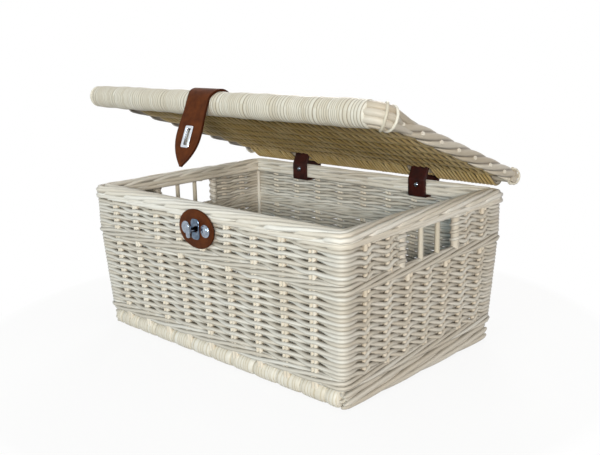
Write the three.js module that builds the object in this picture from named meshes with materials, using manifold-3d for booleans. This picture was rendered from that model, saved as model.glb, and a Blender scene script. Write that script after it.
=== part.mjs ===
// Lidded rectangular basket of peeled willow: woven walls between corner posts, wrapped rolls on
// the base and lid, hand openings in both short sides, leather loop hinges and a strap with a turn lock.
// Millimetres, +Z up, front towards -Y, origin on the ground under the middle of the base.
import * as THREE from "three";
import { mergeVertices } from "three/addons/utils/BufferGeometryUtils.js";
import Module from "manifold-3d";

const wasm = await Module();
wasm.setup();

// Body
const wallLength = 393; // outside of the weave along X
const wallWidth = 269; // outside of the weave along Y
const wallThickness = 9;
const rimHeight = 176;
const wallLean = 8; // how much further in the walls stand at the base than at the lock
const seatGap = 0.3; // clearance where two pieces touch

// Weave of the walls
const weavePitch = 11.4; // two rods, from one bump over a stake to the next
const weaveRelief = 1.2; // how far a rod swings to each side of the wall's middle
const longStakeSpacing = 39;
const shortStakeSpacing = 34;

// Base
const baseRollRadius = 10.5;
const baseSkeinWidth = 24; // flat wrapping round the base rolls
const baseSkeinDip = 0.7;
const basePanelThickness = 9;
const baseEdgeWidth = 10;
const baseEdgeHeight = 19;

// Corner posts
const postRadius = 10;
const postRidge = 0.8;

// Wales, the bands of stacked rods that lock the stakes
const waleHeight = 11;
const waleRecess = 4; // depth of the seat that a wale has in the wall
const waleProud = 1.8;
const middleWaleTop = 126;
const rodDip = 0.9; // groove between stacked rods

// Top border
const borderHeight = 18;
const borderWidth = 21;
const borderProud = 2;
const borderCornerRadius = 23.5;

// Hand openings in the short sides
const openingWidth = 80.8;
const uprightRadius = 5.5;
const uprightRidge = 0.6;
const openingStakeRadius = 2.75;
const openingStakeSpacing = 28;

// Lid, drawn closed with its origin on the hinge axis
const lidOpenAngle = 19.5; // degrees, as stored
const lidHingeInset = 3.5; // hinge axis inside the outer face of the back border
const lidReach = 262; // hinge axis to the axis of the front roll
const lidFrontRollRadius = 12.6;
const lidBackRollRadius = 9.8;
const lidFrontWrapEnd = 207; // right end of the wrapping, short of the roll's bare right end
const lidBackRollLength = 372; // wrapped stretch
const lidFrontCoreRadius = 10;
const lidBackCoreRadius = 7.5;
const lidWrapPitch = 26;
const lidWrapDip = 0.6;
const lidPanelThickness = 9.2;
const lidStickSpacing = 34;
const lidWeavePitch = 23;
const lidWeaveRelief = 1.45;
const lidEdgeRadius = 7.5;
const lidLeftEdgeX = 197; // middle of the left side edge at the front roll
const lidRightEdgeX = 218;
const lidEdgeBackX = 203; // middle of both side edges at the back roll
const lidEdgeTurns = 5;
const bindingWidth = 4;
const bindingThickness = 1.3;
const bindingStub = 2.5; // bundle of sticks that shows past its binding

// Leather loop hinges
const hingeSpacing = 188.6;
const hingeStrapWidth = 24.5;
const hingeLeather = 2.2;
const hingeRunningGap = 0.6; // lid roll inside the loop
const hingeSideGap = 1; // loop inside its slot in the lid
const hingeRivetRadius = 4.2;
const hingeRivetDrop = 6; // below the rim

// Strap
const strapLeather = 2.4;
const strapNeckWidth = 32;
const strapLeafWidth = 41;
const strapLeafDrop = 36; // widest place, below the bend
const strapLength = 70; // bend to tip
const strapTailLength = 52; // on top of the lid, behind the front roll
const strapLift = 3; // degrees away from the square position, as stored
const strapRivetRadius = 5;
const strapRivetSpacing = 20;
const strapRivetInset = 10; // from the end of the tail

// Slot eyelet in the strap
const slotLength = 17;
const slotWidth = 6.2;
const eyeletWall = 1;
const eyeletFlange = 1.9; // beyond the wall of the eyelet
const eyeletThickness = 1;

// Turn lock on the front wall
const lockDrop = 26; // middle of the patch, below the rim
const patchLength = 56;
const patchHeight = 42;
const patchLeather = 2.2; // over the border
const patchRivetRadius = 6.8;
const patchRivetSpacing = 31;
const lockPlateWidth = 13;
const lockPlateHeight = 22;
const lockPlateThickness = 1;
const knobLength = 15;
const knobWidth = 5.2;
const knobDepth = 4.5;
const knobClearance = 0.5; // knob in front of the pressed strap
const knobBevel = 1.1;
const rivetShankRadius = 1.6;
const rivetHoleRadius = 1.9;
const rivetDome = 0.5; // height of a rivet head over its radius

// Facets round a full turn
const rollSegments = 9;
const postSegments = 7;
const rivetSegments = 10;

// Places worked out from the sizes above
const wallX = wallLength / 2;
const wallY = wallWidth / 2;
const baseRollTop = 2 * baseRollRadius;
const weaveBottom = baseRollTop + seatGap;
const borderBottom = rimHeight - borderHeight;
const weaveTop = borderBottom - seatGap;
const bottomWaleTop = weaveBottom + waleHeight;
const middleWaleBottom = middleWaleTop - waleHeight;
const postX = wallX - postRadius;
const postY = wallY - postRadius;
const borderX = wallX + borderProud;
const borderY = wallY + borderProud;
const stakeX = wallX - wallThickness / 2;
const upperBottom = middleWaleTop + seatGap;
const uprightY = openingWidth / 2 + uprightRadius;
const hingeY = borderY - lidHingeInset;
const hingeZ = rimHeight + seatGap + lidFrontRollRadius;
const uprightFrom = rimHeight - lockDrop - patchHeight / 2; // below the lock the walls lean in

const degrees = THREE.MathUtils.degToRad;
const lerp = THREE.MathUtils.lerp;
const vec = (x, y, z) => new THREE.Vector3(x, y, z);

const willow = new THREE.MeshStandardMaterial({ color: 0xd3cbb8, roughness: 0.75, metalness: 0 });
const paleWillow = new THREE.MeshStandardMaterial({ color: 0xe4dcc6, roughness: 0.7, metalness: 0 });
const leather = new THREE.MeshStandardMaterial({ color: 0x6b2f1d, roughness: 0.45, metalness: 0 });
const darkLeather = new THREE.MeshStandardMaterial({ color: 0x42191a, roughness: 0.5, metalness: 0 });
const chrome = new THREE.MeshStandardMaterial({ color: 0xd9dbdd, roughness: 0.15, metalness: 1 });

const basket = new THREE.Group();
const lid = new THREE.Group();
lid.position.set(0, hingeY, hingeZ);
lid.rotation.x = -degrees(lidOpenAngle);
basket.add(lid);

function place(parent, name, geometry, material, x = 0, y = 0, z = 0) {
  const mesh = new THREE.Mesh(geometry, material);
  mesh.name = name;
  mesh.position.set(x, y, z);
  parent.add(mesh);
  return mesh;
}

// Puts a piece of the body in place and leans it in towards the base
function leaning(geometry, x = 0, y = 0, z = 0, turn = 0) {
  const piece = geometry.clone().rotateZ(turn).translate(x, y, z);
  const points = piece.attributes.position;
  for (let i = 0; i < points.count; i++) {
    const inset = (wallLean * Math.max(0, uprightFrom - points.getZ(i))) / uprightFrom;
    points.setX(i, points.getX(i) * (1 - inset / wallX));
    points.setY(i, points.getY(i) * (1 - inset / wallY));
  }
  return piece;
}

// Closed surface from rings of points, the ends capped or the last ring joined to the first
function loft(rings, closed = false) {
  const count = rings[0].length;
  const points = rings.flat();
  const triangles = [];
  const steps = closed ? rings.length : rings.length - 1;
  for (let ring = 0; ring < steps; ring++) {
    const next = (ring + 1) % rings.length;
    for (let i = 0; i < count; i++) {
      const j = (i + 1) % count;
      const a = ring * count + i;
      const b = ring * count + j;
      const c = next * count + j;
      const d = next * count + i;
      triangles.push(a, b, c, a, c, d);
    }
  }
  if (!closed) {
    capRing(points, triangles, rings[0], 0, false);
    capRing(points, triangles, rings.at(-1), (rings.length - 1) * count, true);
  }
  return facingOut(points, triangles);
}

function capRing(points, triangles, ring, first, forward) {
  const centre = vec(0, 0, 0);
  ring.forEach((p) => centre.addScaledVector(p, 1 / ring.length));
  const hub = points.push(centre) - 1;
  ring.forEach((_, i) => {
    const a = first + i;
    const b = first + ((i + 1) % ring.length);
    triangles.push(hub, ...(forward ? [a, b] : [b, a]));
  });
}

// Indexed geometry whose triangles are turned to face outwards
function facingOut(points, triangles) {
  let volume = 0;
  for (let t = 0; t < triangles.length; t += 3) {
    const [a, b, c] = [0, 1, 2].map((k) => points[triangles[t + k]]);
    volume += a.dot(b.clone().cross(c));
  }
  const index = volume > 0 ? triangles : triangles.slice().reverse();
  const geometry = new THREE.BufferGeometry();
  geometry.setAttribute("position", new THREE.Float32BufferAttribute(points.flatMap((p) => p.toArray()), 3));
  geometry.setIndex(index);
  return geometry;
}

function solid(geometry) {
  const bare = geometry.clone();
  bare.deleteAttribute("normal");
  bare.deleteAttribute("uv");
  const merged = mergeVertices(bare, 1e-4);
  return new wasm.Manifold(
    new wasm.Mesh({
      numProp: 3,
      vertProperties: new Float32Array(merged.attributes.position.array),
      triVerts: new Uint32Array(merged.index.array),
    }),
  );
}

function geometryOf(manifold) {
  const mesh = manifold.getMesh();
  const geometry = new THREE.BufferGeometry();
  geometry.setAttribute("position", new THREE.Float32BufferAttribute(mesh.vertProperties, 3));
  geometry.setIndex(new THREE.Uint32BufferAttribute(mesh.triVerts, 1));
  return geometry;
}

function cut(geometry, ...tools) {
  return geometryOf(tools.reduce((body, tool) => body.subtract(solid(tool)), solid(geometry)));
}

function join(first, second) {
  return geometryOf(solid(first).add(solid(second)));
}

function box(low, high) {
  const size = high.clone().sub(low);
  const middle = low.clone().add(high).multiplyScalar(0.5);
  return new THREE.BoxGeometry(size.x, size.y, size.z).translate(middle.x, middle.y, middle.z);
}

// Turned forms, with their axis along Z, X or -Y
function turned(profile, segments) {
  const geometry = new THREE.LatheGeometry(profile.map(([r, h]) => new THREE.Vector2(r, h)), segments);
  return geometry.rotateX(Math.PI / 2);
}

function turnedAlongX(profile, segments) {
  return turned(profile, segments).rotateY(Math.PI / 2);
}

function turnedOutwards(profile, segments) {
  return turned(profile, segments).rotateX(Math.PI / 2);
}

// Flat plates: drawn in X and Z and thickened towards -Y, or drawn in Y and Z and widened along X
function frontPlate(shape, thickness, curveSegments = 2) {
  const geometry = new THREE.ExtrudeGeometry(shape, { depth: thickness, bevelEnabled: false, curveSegments });
  return geometry.applyMatrix4(new THREE.Matrix4().makeBasis(vec(1, 0, 0), vec(0, 0, 1), vec(0, -1, 0)));
}

function crossPlate(shape, width) {
  const geometry = new THREE.ExtrudeGeometry(shape, { depth: width, bevelEnabled: false });
  geometry.applyMatrix4(new THREE.Matrix4().makeBasis(vec(0, 1, 0), vec(0, 0, 1), vec(1, 0, 0)));
  return geometry.translate(-width / 2, 0, 0);
}

function roundedRect(width, height, radius) {
  const shape = new THREE.Shape();
  const x = width / 2 - radius;
  const z = height / 2 - radius;
  shape.absarc(x, z, radius, 0, Math.PI / 2);
  shape.absarc(-x, z, radius, Math.PI / 2, Math.PI);
  shape.absarc(-x, -z, radius, Math.PI, 1.5 * Math.PI);
  shape.absarc(x, -z, radius, 1.5 * Math.PI, 2 * Math.PI);
  return shape;
}

// Round hole whose flats stay outside the given radius
function circle(x, z, radius) {
  const reach = radius / Math.cos(Math.PI / rivetSegments);
  const corners = Array.from({ length: rivetSegments }, (_, i) => {
    const angle = (2 * Math.PI * i) / rivetSegments;
    return new THREE.Vector2(x + reach * Math.cos(angle), z + reach * Math.sin(angle));
  });
  return new THREE.Path(corners);
}

// Rivet with its seat at height 0, a domed head above and a shank below
function rivet(radius, shank, height = radius * rivetDome) {
  const dome = [];
  const steps = 3;
  for (let i = 0; i <= steps; i++) {
    const angle = (i / steps) * (Math.PI / 2);
    dome.push([radius * Math.cos(angle), height * Math.sin(angle)]);
  }
  dome[steps][0] = 0;
  return [[0, -shank], [rivetShankRadius, -shank], [rivetShankRadius, 0], ...dome];
}

// Profile of a wrapped stick: ridges of one wrap each, between two heights
function wrapped(radius, dip, pitch, from, to) {
  const ridges = Math.max(2, Math.round((to - from) / pitch));
  const profile = [];
  for (let i = 0; i <= 2 * ridges; i++) {
    const r = i % 2 ? radius : radius - dip;
    profile.push([r, lerp(from, to, i / (2 * ridges))]);
  }
  return profile;
}

function capped(profile) {
  return [[0, profile[0][1]], ...profile, [0, profile.at(-1)[1]]];
}

// Outline of rods stacked on each other: n is 0 on the outer face and negative behind it, z runs upwards
function rodStack(width, height, rods) {
  const outer = [];
  const inner = [];
  for (let i = 0; i <= 2 * rods; i++) {
    const dip = i % 2 ? 0 : rodDip;
    const z = (height * i) / (2 * rods);
    outer.push([-dip, z]);
    inner.unshift([dip - width, z]);
  }
  return [...outer, ...inner];
}

// Sheet of plain weave between two sets of lines. Bumps alternate from stake to stake and from row to
// row, and both faces follow them. at(u, v, depth) puts a point in space, with depth 0 on the outer face.
function wovenSheet(stakes, rows, thickness, relief, recessAt, at) {
  const swing = (i, j) => (i === 0 || i === stakes.length - 1 ? 0 : (i + j) % 2 ? 1 : -1);
  const points = [];
  const triangles = [];
  const outer = (i, j) => j * stakes.length + i;
  const inner = (i, j) => rows.length * stakes.length + outer(i, j);
  const quad = (a, b, c, d) => triangles.push(a, b, c, a, c, d);
  for (const face of ["outer", "inner"]) {
    rows.forEach((v, j) => {
      stakes.forEach((u, i) => {
        const wave = relief * (1 - swing(i, j));
        const recess = recessAt(v);
        const depth = face === "outer" ? recess || wave : thickness - 2 * relief + wave;
        points.push(at(u, v, depth));
      });
    });
  }
  const lastStake = stakes.length - 1;
  const lastRow = rows.length - 1;
  for (let j = 0; j < lastRow; j++) {
    for (let i = 0; i < lastStake; i++) {
      quad(outer(i, j), outer(i + 1, j), outer(i + 1, j + 1), outer(i, j + 1));
      quad(inner(i, j), inner(i, j + 1), inner(i + 1, j + 1), inner(i + 1, j));
    }
    quad(outer(0, j), outer(0, j + 1), inner(0, j + 1), inner(0, j));
    quad(outer(lastStake, j), inner(lastStake, j), inner(lastStake, j + 1), outer(lastStake, j + 1));
  }
  for (let i = 0; i < lastStake; i++) {
    quad(outer(i, 0), inner(i, 0), inner(i + 1, 0), outer(i + 1, 0));
    quad(outer(i, lastRow), outer(i + 1, lastRow), inner(i + 1, lastRow), inner(i, lastRow));
  }
  return facingOut(points, triangles);
}

// Edges of a stretch with a stake in the middle of each equal share
function stakeLines(from, to, spacing) {
  const count = Math.max(2, Math.round((to - from) / spacing));
  const lines = [from];
  for (let i = 0; i < count; i++) {
    lines.push(lerp(from, to, (i + 0.5) / count));
  }
  return [...lines, to];
}

function rowLines(from, to, pitch) {
  const count = Math.max(2, Math.round((2 * (to - from)) / pitch));
  return Array.from({ length: count + 1 }, (_, i) => lerp(from, to, i / count));
}

// Wales seat in recesses of the walls and posts, a gap wider than the wale itself
const wales = [
  { bottom: weaveBottom, top: bottomWaleTop },
  { bottom: middleWaleBottom, top: middleWaleTop },
];

const seatStep = 0.5; // height of the short slope at the edge of a seat
const seatMargin = seatGap + seatStep / 2;
const seatEdges = wales.map((wale) => [wale.bottom - seatMargin, wale.top + seatMargin]);

function inWale(z) {
  return seatEdges.some(([low, high]) => z > low && z < high);
}

// Heights of the rows of a wall, with a short step where it enters and leaves a wale's seat
function wallRows(from, to) {
  const inside = (edge) => edge > from + seatStep && edge < to - seatStep;
  const edges = [from, ...seatEdges.flat().filter(inside), to];
  const rows = [];
  for (let k = 0; k < edges.length - 1; k++) {
    const low = k === 0 ? edges[k] : edges[k] + seatStep / 2;
    const high = k === edges.length - 2 ? edges[k + 1] : edges[k + 1] - seatStep / 2;
    rows.push(...(inWale((low + high) / 2) ? [low, high] : rowLines(low, high, weavePitch)));
  }
  return rows;
}

function wallPanel(from, to, bottom, top, spacing) {
  const recessAt = (z) => (inWale(z) ? waleRecess : 0);
  const at = (u, v, depth) => vec(u, depth, v);
  const stakes = stakeLines(from, to, spacing);
  return wovenSheet(stakes, wallRows(bottom, top), wallThickness, weaveRelief, recessAt, at);
}

// Base: woven panel flush with the ground between two wrapped rolls and two edges of stacked rods
const baseEdgeInner = wallX - baseEdgeWidth;
const basePanelX = baseEdgeInner - seatGap;
const basePanelY = wallY - 2 * baseRollRadius - seatGap;
const basePanel = box(vec(-basePanelX, -basePanelY, 0), vec(basePanelX, basePanelY, basePanelThickness));
place(basket, "base_panel", leaning(basePanel), willow);
for (const [side, sign] of [["front", -1], ["back", 1]]) {
  const profile = capped(wrapped(baseRollRadius, baseSkeinDip, baseSkeinWidth, -basePanelX, basePanelX));
  const roll = turnedAlongX(profile, rollSegments);
  const seated = leaning(roll, 0, sign * (wallY - baseRollRadius), baseRollRadius);
  place(basket, `base_${side}_roll`, seated, paleWillow);
}
for (const [side, sign] of [["left", -1], ["right", 1]]) {
  const outline = rodStack(baseEdgeWidth, baseEdgeHeight, 2);
  const rings = [-wallY, wallY].map((y) => outline.map(([n, z]) => vec(sign * (wallX + n), y, z)));
  place(basket, `base_${side}_edge`, leaning(loft(rings)), willow);
}

// Corner posts, wrapped by the weavers that turn round them, with a seat for each wale
const postProfile = [];
for (const z of wallRows(weaveBottom, weaveTop)) {
  const ridge = postProfile.length % 2 ? 0 : postRidge;
  postProfile.push([postRadius - (inWale(z) ? waleRecess : ridge), z]);
}
for (const [end, signY] of [["front", -1], ["back", 1]]) {
  for (const [side, signX] of [["left", -1], ["right", 1]]) {
    const post = turned(capped(postProfile), postSegments);
    place(basket, `${end}_${side}_corner_post`, leaning(post, signX * postX, signY * postY), willow);
  }
}

// Woven walls. The short sides stop at the middle wale, and go on beside the hand openings.
const longHalf = postX - postRadius - seatGap;
const shortHalf = postY - postRadius - seatGap;
const hingeX = hingeSpacing / 2;
const hingeSlots = [-1, 1].map((sign) => {
  const half = hingeStrapWidth / 2 + seatGap;
  const x = sign * hingeX;
  const bottom = weaveTop - hingeLeather - seatGap;
  return box(vec(x - half, -wallThickness, bottom), vec(x + half, 2 * wallThickness, rimHeight));
});
const longWall = wallPanel(-longHalf, longHalf, weaveBottom, weaveTop, longStakeSpacing);
place(basket, "front_weave", leaning(longWall, 0, -wallY), willow);
place(basket, "back_weave", leaning(cut(longWall, ...hingeSlots), 0, wallY, 0, Math.PI), willow);
for (const [side, sign] of [["left", -1], ["right", 1]]) {
  const turn = (sign * Math.PI) / 2;
  const lower = wallPanel(-shortHalf, shortHalf, weaveBottom, middleWaleTop, shortStakeSpacing);
  place(basket, `${side}_lower_weave`, leaning(lower, sign * wallX, 0, 0, turn), willow);
  for (const [end, signY] of [["front", -1], ["back", 1]]) {
    const edges = [uprightY + uprightRadius + seatGap, shortHalf].map((y) => signY * sign * y);
    const upper = wallPanel(Math.min(...edges), Math.max(...edges), upperBottom, weaveTop, shortStakeSpacing);
    place(basket, `${side}_${end}_upper_weave`, leaning(upper, sign * wallX, 0, 0, turn), willow);
  }
}

// Hand openings: a wrapped upright at each end and two bare stakes between
const uprightProfile = capped(wrapped(uprightRadius, uprightRidge, weavePitch, upperBottom, weaveTop));
for (const [side, sign] of [["left", -1], ["right", 1]]) {
  for (const [end, signY] of [["front", -1], ["back", 1]]) {
    const upright = turned(uprightProfile, postSegments);
    const seated = leaning(upright, sign * stakeX, signY * uprightY);
    place(basket, `${side}_${end}_opening_upright`, seated, paleWillow);
    const height = weaveTop - upperBottom;
    const stake = new THREE.CylinderGeometry(openingStakeRadius, openingStakeRadius, height, postSegments);
    stake.rotateX(Math.PI / 2).translate(0, 0, upperBottom + height / 2);
    const bare = leaning(stake, sign * stakeX, (signY * openingStakeSpacing) / 2);
    place(basket, `${side}_${end}_opening_stake`, bare, paleWillow);
  }
}

// Wales run round the whole basket in one ring
function waleRing() {
  const depth = waleRecess - seatGap + waleProud;
  const outline = rodStack(depth, waleHeight, 2);
  const arcSteps = 3;
  const rings = [];
  for (let corner = 0; corner < 4; corner++) {
    const signX = corner === 0 || corner === 3 ? 1 : -1;
    const signY = corner < 2 ? 1 : -1;
    for (let k = 0; k <= arcSteps; k++) {
      const angle = ((corner + k / arcSteps) * Math.PI) / 2;
      const reach = postRadius + waleProud;
      const ring = outline.map(([n, z]) =>
        vec(signX * postX + (reach + n) * Math.cos(angle), signY * postY + (reach + n) * Math.sin(angle), z),
      );
      rings.push(ring);
    }
  }
  return loft(rings, true);
}
place(basket, "bottom_wale", leaning(waleRing(), 0, 0, weaveBottom), willow);
place(basket, "middle_wale", leaning(waleRing(), 0, 0, middleWaleBottom), willow);

// Top border: three rods deep, one rail on each side, meeting on the diagonal of each corner
function borderRail(halfLength) {
  const outline = rodStack(borderWidth, borderHeight, 3);
  const arcSteps = 3;
  const straight = halfLength - borderCornerRadius;
  const rings = [];
  for (const end of [-1, 1]) {
    const stretch = [];
    for (let k = 0; k <= arcSteps; k++) {
      const angle = (k / arcSteps) * (Math.PI / 4);
      const back = k === arcSteps ? seatGap / 2 : 0;
      const ring = outline.map(([n, z]) => {
        const reach = borderCornerRadius + n;
        const x = straight + reach * Math.sin(angle) - back * Math.cos(angle);
        const y = borderCornerRadius - reach * Math.cos(angle) - back * Math.sin(angle);
        return vec(end * x, y, z);
      });
      stretch.push(ring);
    }
    rings.push(...(end < 0 ? stretch.reverse() : stretch));
  }
  return loft(rings);
}
const longRail = borderRail(borderX);
const shortRail = borderRail(borderY);
place(basket, "front_border", longRail, willow, 0, -borderY, borderBottom);
place(basket, "back_border", longRail, willow, 0, borderY, borderBottom).rotation.z = Math.PI;
place(basket, "left_border", shortRail, willow, -borderX, 0, borderBottom).rotation.z = -Math.PI / 2;
place(basket, "right_border", shortRail, willow, borderX, 0, borderBottom).rotation.z = Math.PI / 2;

// Leather loop hinges: each goes round the lid's back roll and the back border, like a belt
function belt(offset) {
  const inner = borderY - borderWidth - seatGap;
  const outer = borderY + seatGap;
  const pegs = [
    { y: hingeY, z: hingeZ, radius: lidBackRollRadius + hingeRunningGap },
    { y: inner, z: rimHeight + seatGap, radius: 0 },
    { y: inner, z: weaveTop, radius: 0 },
    { y: outer, z: weaveTop, radius: 0 },
    { y: outer, z: rimHeight + seatGap, radius: 0 },
  ];
  const steps = 36;
  const points = [];
  for (let i = 0; i < steps; i++) {
    const angle = (2 * Math.PI * i) / steps;
    const y = Math.cos(angle);
    const z = Math.sin(angle);
    const reach = (peg) => peg.y * y + peg.z * z + peg.radius;
    const peg = pegs.reduce((best, next) => (reach(next) > reach(best) ? next : best));
    const r = peg.radius + offset;
    const point = new THREE.Vector2(peg.y + r * y, peg.z + r * z);
    if (!points.length || point.distanceTo(points.at(-1)) > 1e-3) {
      points.push(point);
    }
  }
  return points;
}
const hingeFaceY = borderY - borderWidth - seatGap - hingeLeather;
const hingeRivetZ = rimHeight - hingeRivetDrop;
for (const [side, sign] of [["left", -1], ["right", 1]]) {
  const loop = new THREE.Shape(belt(hingeLeather));
  loop.holes.push(new THREE.Path(belt(0)));
  const hole = new THREE.CylinderGeometry(rivetHoleRadius, rivetHoleRadius, 2 * hingeLeather, rivetSegments);
  hole.translate(0, hingeFaceY + hingeLeather / 2, hingeRivetZ);
  const strap = cut(crossPlate(loop, hingeStrapWidth), hole);
  place(basket, `${side}_hinge_strap`, strap, darkLeather, sign * hingeX);
  const head = turnedOutwards(rivet(hingeRivetRadius, hingeLeather - seatGap), rivetSegments);
  place(basket, `${side}_hinge_rivet`, head, chrome, sign * hingeX, hingeFaceY - seatGap, hingeRivetZ);
}

// Lid: wrapped rolls at front and back, woven panel between, twisted rods along both sides
function lidRoll(radius, coreRadius, leftEnd, wrapLeft, wrapRight, rightEnd) {
  const wraps = wrapped(radius, lidWrapDip, lidWrapPitch, wrapLeft, wrapRight);
  const bare = [leftEnd, wrapLeft, wrapRight, rightEnd].map((x) => [coreRadius, x]);
  return turnedAlongX(capped([bare[0], bare[1], ...wraps, bare[2], bare[3]]), rollSegments);
}
const bindingReach = lidEdgeRadius + seatGap + bindingWidth / 2; // from the middle of the side edge
const coreReach = bindingReach + bindingWidth / 2 + bindingStub;
const frontRoll = lidRoll(
  lidFrontRollRadius,
  lidFrontCoreRadius,
  -lidLeftEdgeX - coreReach,
  -lidLeftEdgeX - lidEdgeRadius,
  lidFrontWrapEnd,
  lidRightEdgeX + coreReach,
);
place(lid, "lid_front_roll", frontRoll, paleWillow, 0, -lidReach);
const backEnd = lidEdgeBackX + coreReach;
const backHalf = lidBackRollLength / 2;
const backRoll = lidRoll(lidBackRollRadius, lidBackCoreRadius, -backEnd, -backHalf, backHalf, backEnd);
place(lid, "lid_back_roll", backRoll, paleWillow);

// The left edge meets the wrapped end of the front roll, the right edge its bare end
const edgeFrontY = (sign) => (sign < 0 ? lidFrontRollRadius : lidFrontCoreRadius) + seatGap - lidReach;
const edgeBackY = -lidBackCoreRadius - seatGap;
const edgeFrontX = (sign) => (sign < 0 ? lidLeftEdgeX : lidRightEdgeX);
const edgeXAt = (y, sign) => lerp(edgeFrontX(sign), lidEdgeBackX, (y + lidReach) / (edgeBackY + lidReach));

// Bumps of the three rods twisted together along each side
function twistedEdge(sign) {
  const stepsPerTurn = 4;
  const steps = stepsPerTurn * lidEdgeTurns;
  const lobes = 3;
  const around = 3 * lobes;
  const lobeDepth = 0.1;
  const rings = [];
  for (let k = 0; k <= steps; k++) {
    const y = lerp(edgeFrontY(sign), edgeBackY, k / steps);
    const twist = (2 * Math.PI * k) / stepsPerTurn / lobes;
    const ring = [];
    for (let i = 0; i < around; i++) {
      const angle = (2 * Math.PI * i) / around;
      const r = lidEdgeRadius * (1 - lobeDepth + lobeDepth * Math.cos(lobes * angle));
      ring.push(vec(sign * edgeXAt(y, sign) + r * Math.cos(angle + twist), y, r * Math.sin(angle + twist)));
    }
    rings.push(ring);
  }
  return loft(rings);
}

// Ring of thin skein that ties the end of a roll
function binding(coreRadius) {
  const steps = rollSegments;
  const inner = (coreRadius + seatGap) / Math.cos(Math.PI / steps); // flats clear the core's corners
  const outer = inner + bindingThickness;
  const half = bindingWidth / 2;
  const rings = [];
  for (let k = 0; k < steps; k++) {
    const angle = (2 * Math.PI * k) / steps;
    const section = [[inner, -half], [outer, -half / 2], [outer, half / 2], [inner, half]];
    rings.push(section.map(([r, x]) => vec(x, r * Math.cos(angle), r * Math.sin(angle))));
  }
  return loft(rings, true);
}
for (const [side, sign] of [["left", -1], ["right", 1]]) {
  place(lid, `lid_${side}_edge`, twistedEdge(sign), willow);
  const frontX = sign * (edgeFrontX(sign) + bindingReach);
  const backX = sign * (lidEdgeBackX + bindingReach);
  place(lid, `lid_front_${side}_binding`, binding(lidFrontCoreRadius), paleWillow, frontX, -lidReach);
  place(lid, `lid_back_${side}_binding`, binding(lidBackCoreRadius), paleWillow, backX);
}

// Woven lid panel, with an open slot beside the back roll for each hinge loop
const panelFrontY = lidFrontRollRadius + seatGap - lidReach;
const panelBackY = -lidBackRollRadius - seatGap;
const panelHalfAt = (y, sign) => edgeXAt(y, sign) - lidEdgeRadius - seatGap;
const panelTop = lidPanelThickness / 2;
const lidSheet = wovenSheet(
  stakeLines(panelFrontY, panelBackY, lidStickSpacing),
  rowLines(-1, 1, lidWeavePitch / panelHalfAt(panelBackY, 1)),
  lidPanelThickness,
  lidWeaveRelief,
  () => 0,
  (u, v, depth) => vec(v * panelHalfAt(u, v), u, panelTop - depth),
);
const loopReach = hingeY - (borderY - borderWidth - seatGap) + hingeLeather;
const lidSlots = [-1, 1].map((sign) => {
  const half = hingeStrapWidth / 2 + hingeSideGap;
  const x = sign * hingeX;
  return box(vec(x - half, -loopReach, -lidPanelThickness), vec(x + half, 0, lidPanelThickness));
});
place(lid, "lid_panel", cut(lidSheet, ...lidSlots), willow);

// Strap: its tail is riveted on top of the lid and bends over the front roll, to the line where it flexes
const rollSeat = lidFrontRollRadius + seatGap;
const bendY = -lidReach - rollSeat - strapLeather / 2;
const bendEdge = strapLeather / 2 + seatGap;

function strapTail() {
  const flatZ = panelTop + seatGap;
  const endY = panelFrontY + strapTailLength;
  const foot = new THREE.Vector2(2 * lidFrontRollRadius - lidReach, flatZ);
  const arm = foot.clone().sub(new THREE.Vector2(-lidReach, 0));
  const start = arm.angle() + Math.acos(rollSeat / arm.length());
  const stop = Math.PI - bendEdge / (rollSeat + strapLeather / 2);
  const steps = 12;
  const underside = [new THREE.Vector2(endY, flatZ), foot];
  const topside = underside.map((p) => new THREE.Vector2(p.x, p.y + strapLeather));
  for (let k = 0; k <= steps; k++) {
    const angle = lerp(start, stop, k / steps);
    const out = new THREE.Vector2(Math.cos(angle), Math.sin(angle));
    underside.push(new THREE.Vector2(-lidReach, 0).addScaledVector(out, rollSeat));
    topside.push(new THREE.Vector2(-lidReach, 0).addScaledVector(out, rollSeat + strapLeather));
  }
  return new THREE.Shape([...underside, ...topside.reverse()]);
}
const tailEndY = panelFrontY + strapTailLength;
const rivetSeatZ = panelTop + seatGap + strapLeather + seatGap;
const strapRivetYs = [0, 1].map((k) => tailEndY - strapRivetInset - k * strapRivetSpacing);
const strapHoles = strapRivetYs.map((y) => {
  const hole = new THREE.CylinderGeometry(rivetHoleRadius, rivetHoleRadius, 4 * strapLeather, rivetSegments);
  return hole.rotateX(Math.PI / 2).translate(0, y, rivetSeatZ);
});
place(lid, "strap_tail", cut(crossPlate(strapTail(), strapNeckWidth), ...strapHoles), leather);
strapRivetYs.forEach((y, k) => {
  const name = k ? "strap_front_rivet" : "strap_back_rivet";
  place(lid, name, turned(rivet(strapRivetRadius, strapLeather), rivetSegments), chrome, 0, y, rivetSeatZ);
});

// Tongue of the strap: a leaf with a pointed tip, hanging from the bend
const tongue = new THREE.Group();
tongue.position.set(0, bendY, 0);
tongue.rotation.x = -degrees(strapLift);
lid.add(tongue);
const slotDrop = hingeZ - (rimHeight - lockDrop);
const eyeletWidth = slotWidth + 2 * eyeletWall;
const eyeletLength = slotLength + 2 * eyeletWall;

function leaf() {
  const neck = strapNeckWidth / 2;
  const wide = strapLeafWidth / 2;
  const shape = new THREE.Shape();
  shape.moveTo(neck, 0);
  shape.lineTo(-neck, 0);
  shape.bezierCurveTo(-neck, -strapLeafDrop / 2, -wide, -strapLeafDrop / 2, -wide, -strapLeafDrop);
  shape.quadraticCurveTo(-wide, -lerp(strapLeafDrop, strapLength, 0.55), 0, -strapLength);
  shape.quadraticCurveTo(wide, -lerp(strapLeafDrop, strapLength, 0.55), wide, -strapLeafDrop);
  shape.bezierCurveTo(wide, -strapLeafDrop / 2, neck, -strapLeafDrop / 2, neck, 0);
  return shape;
}

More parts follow.
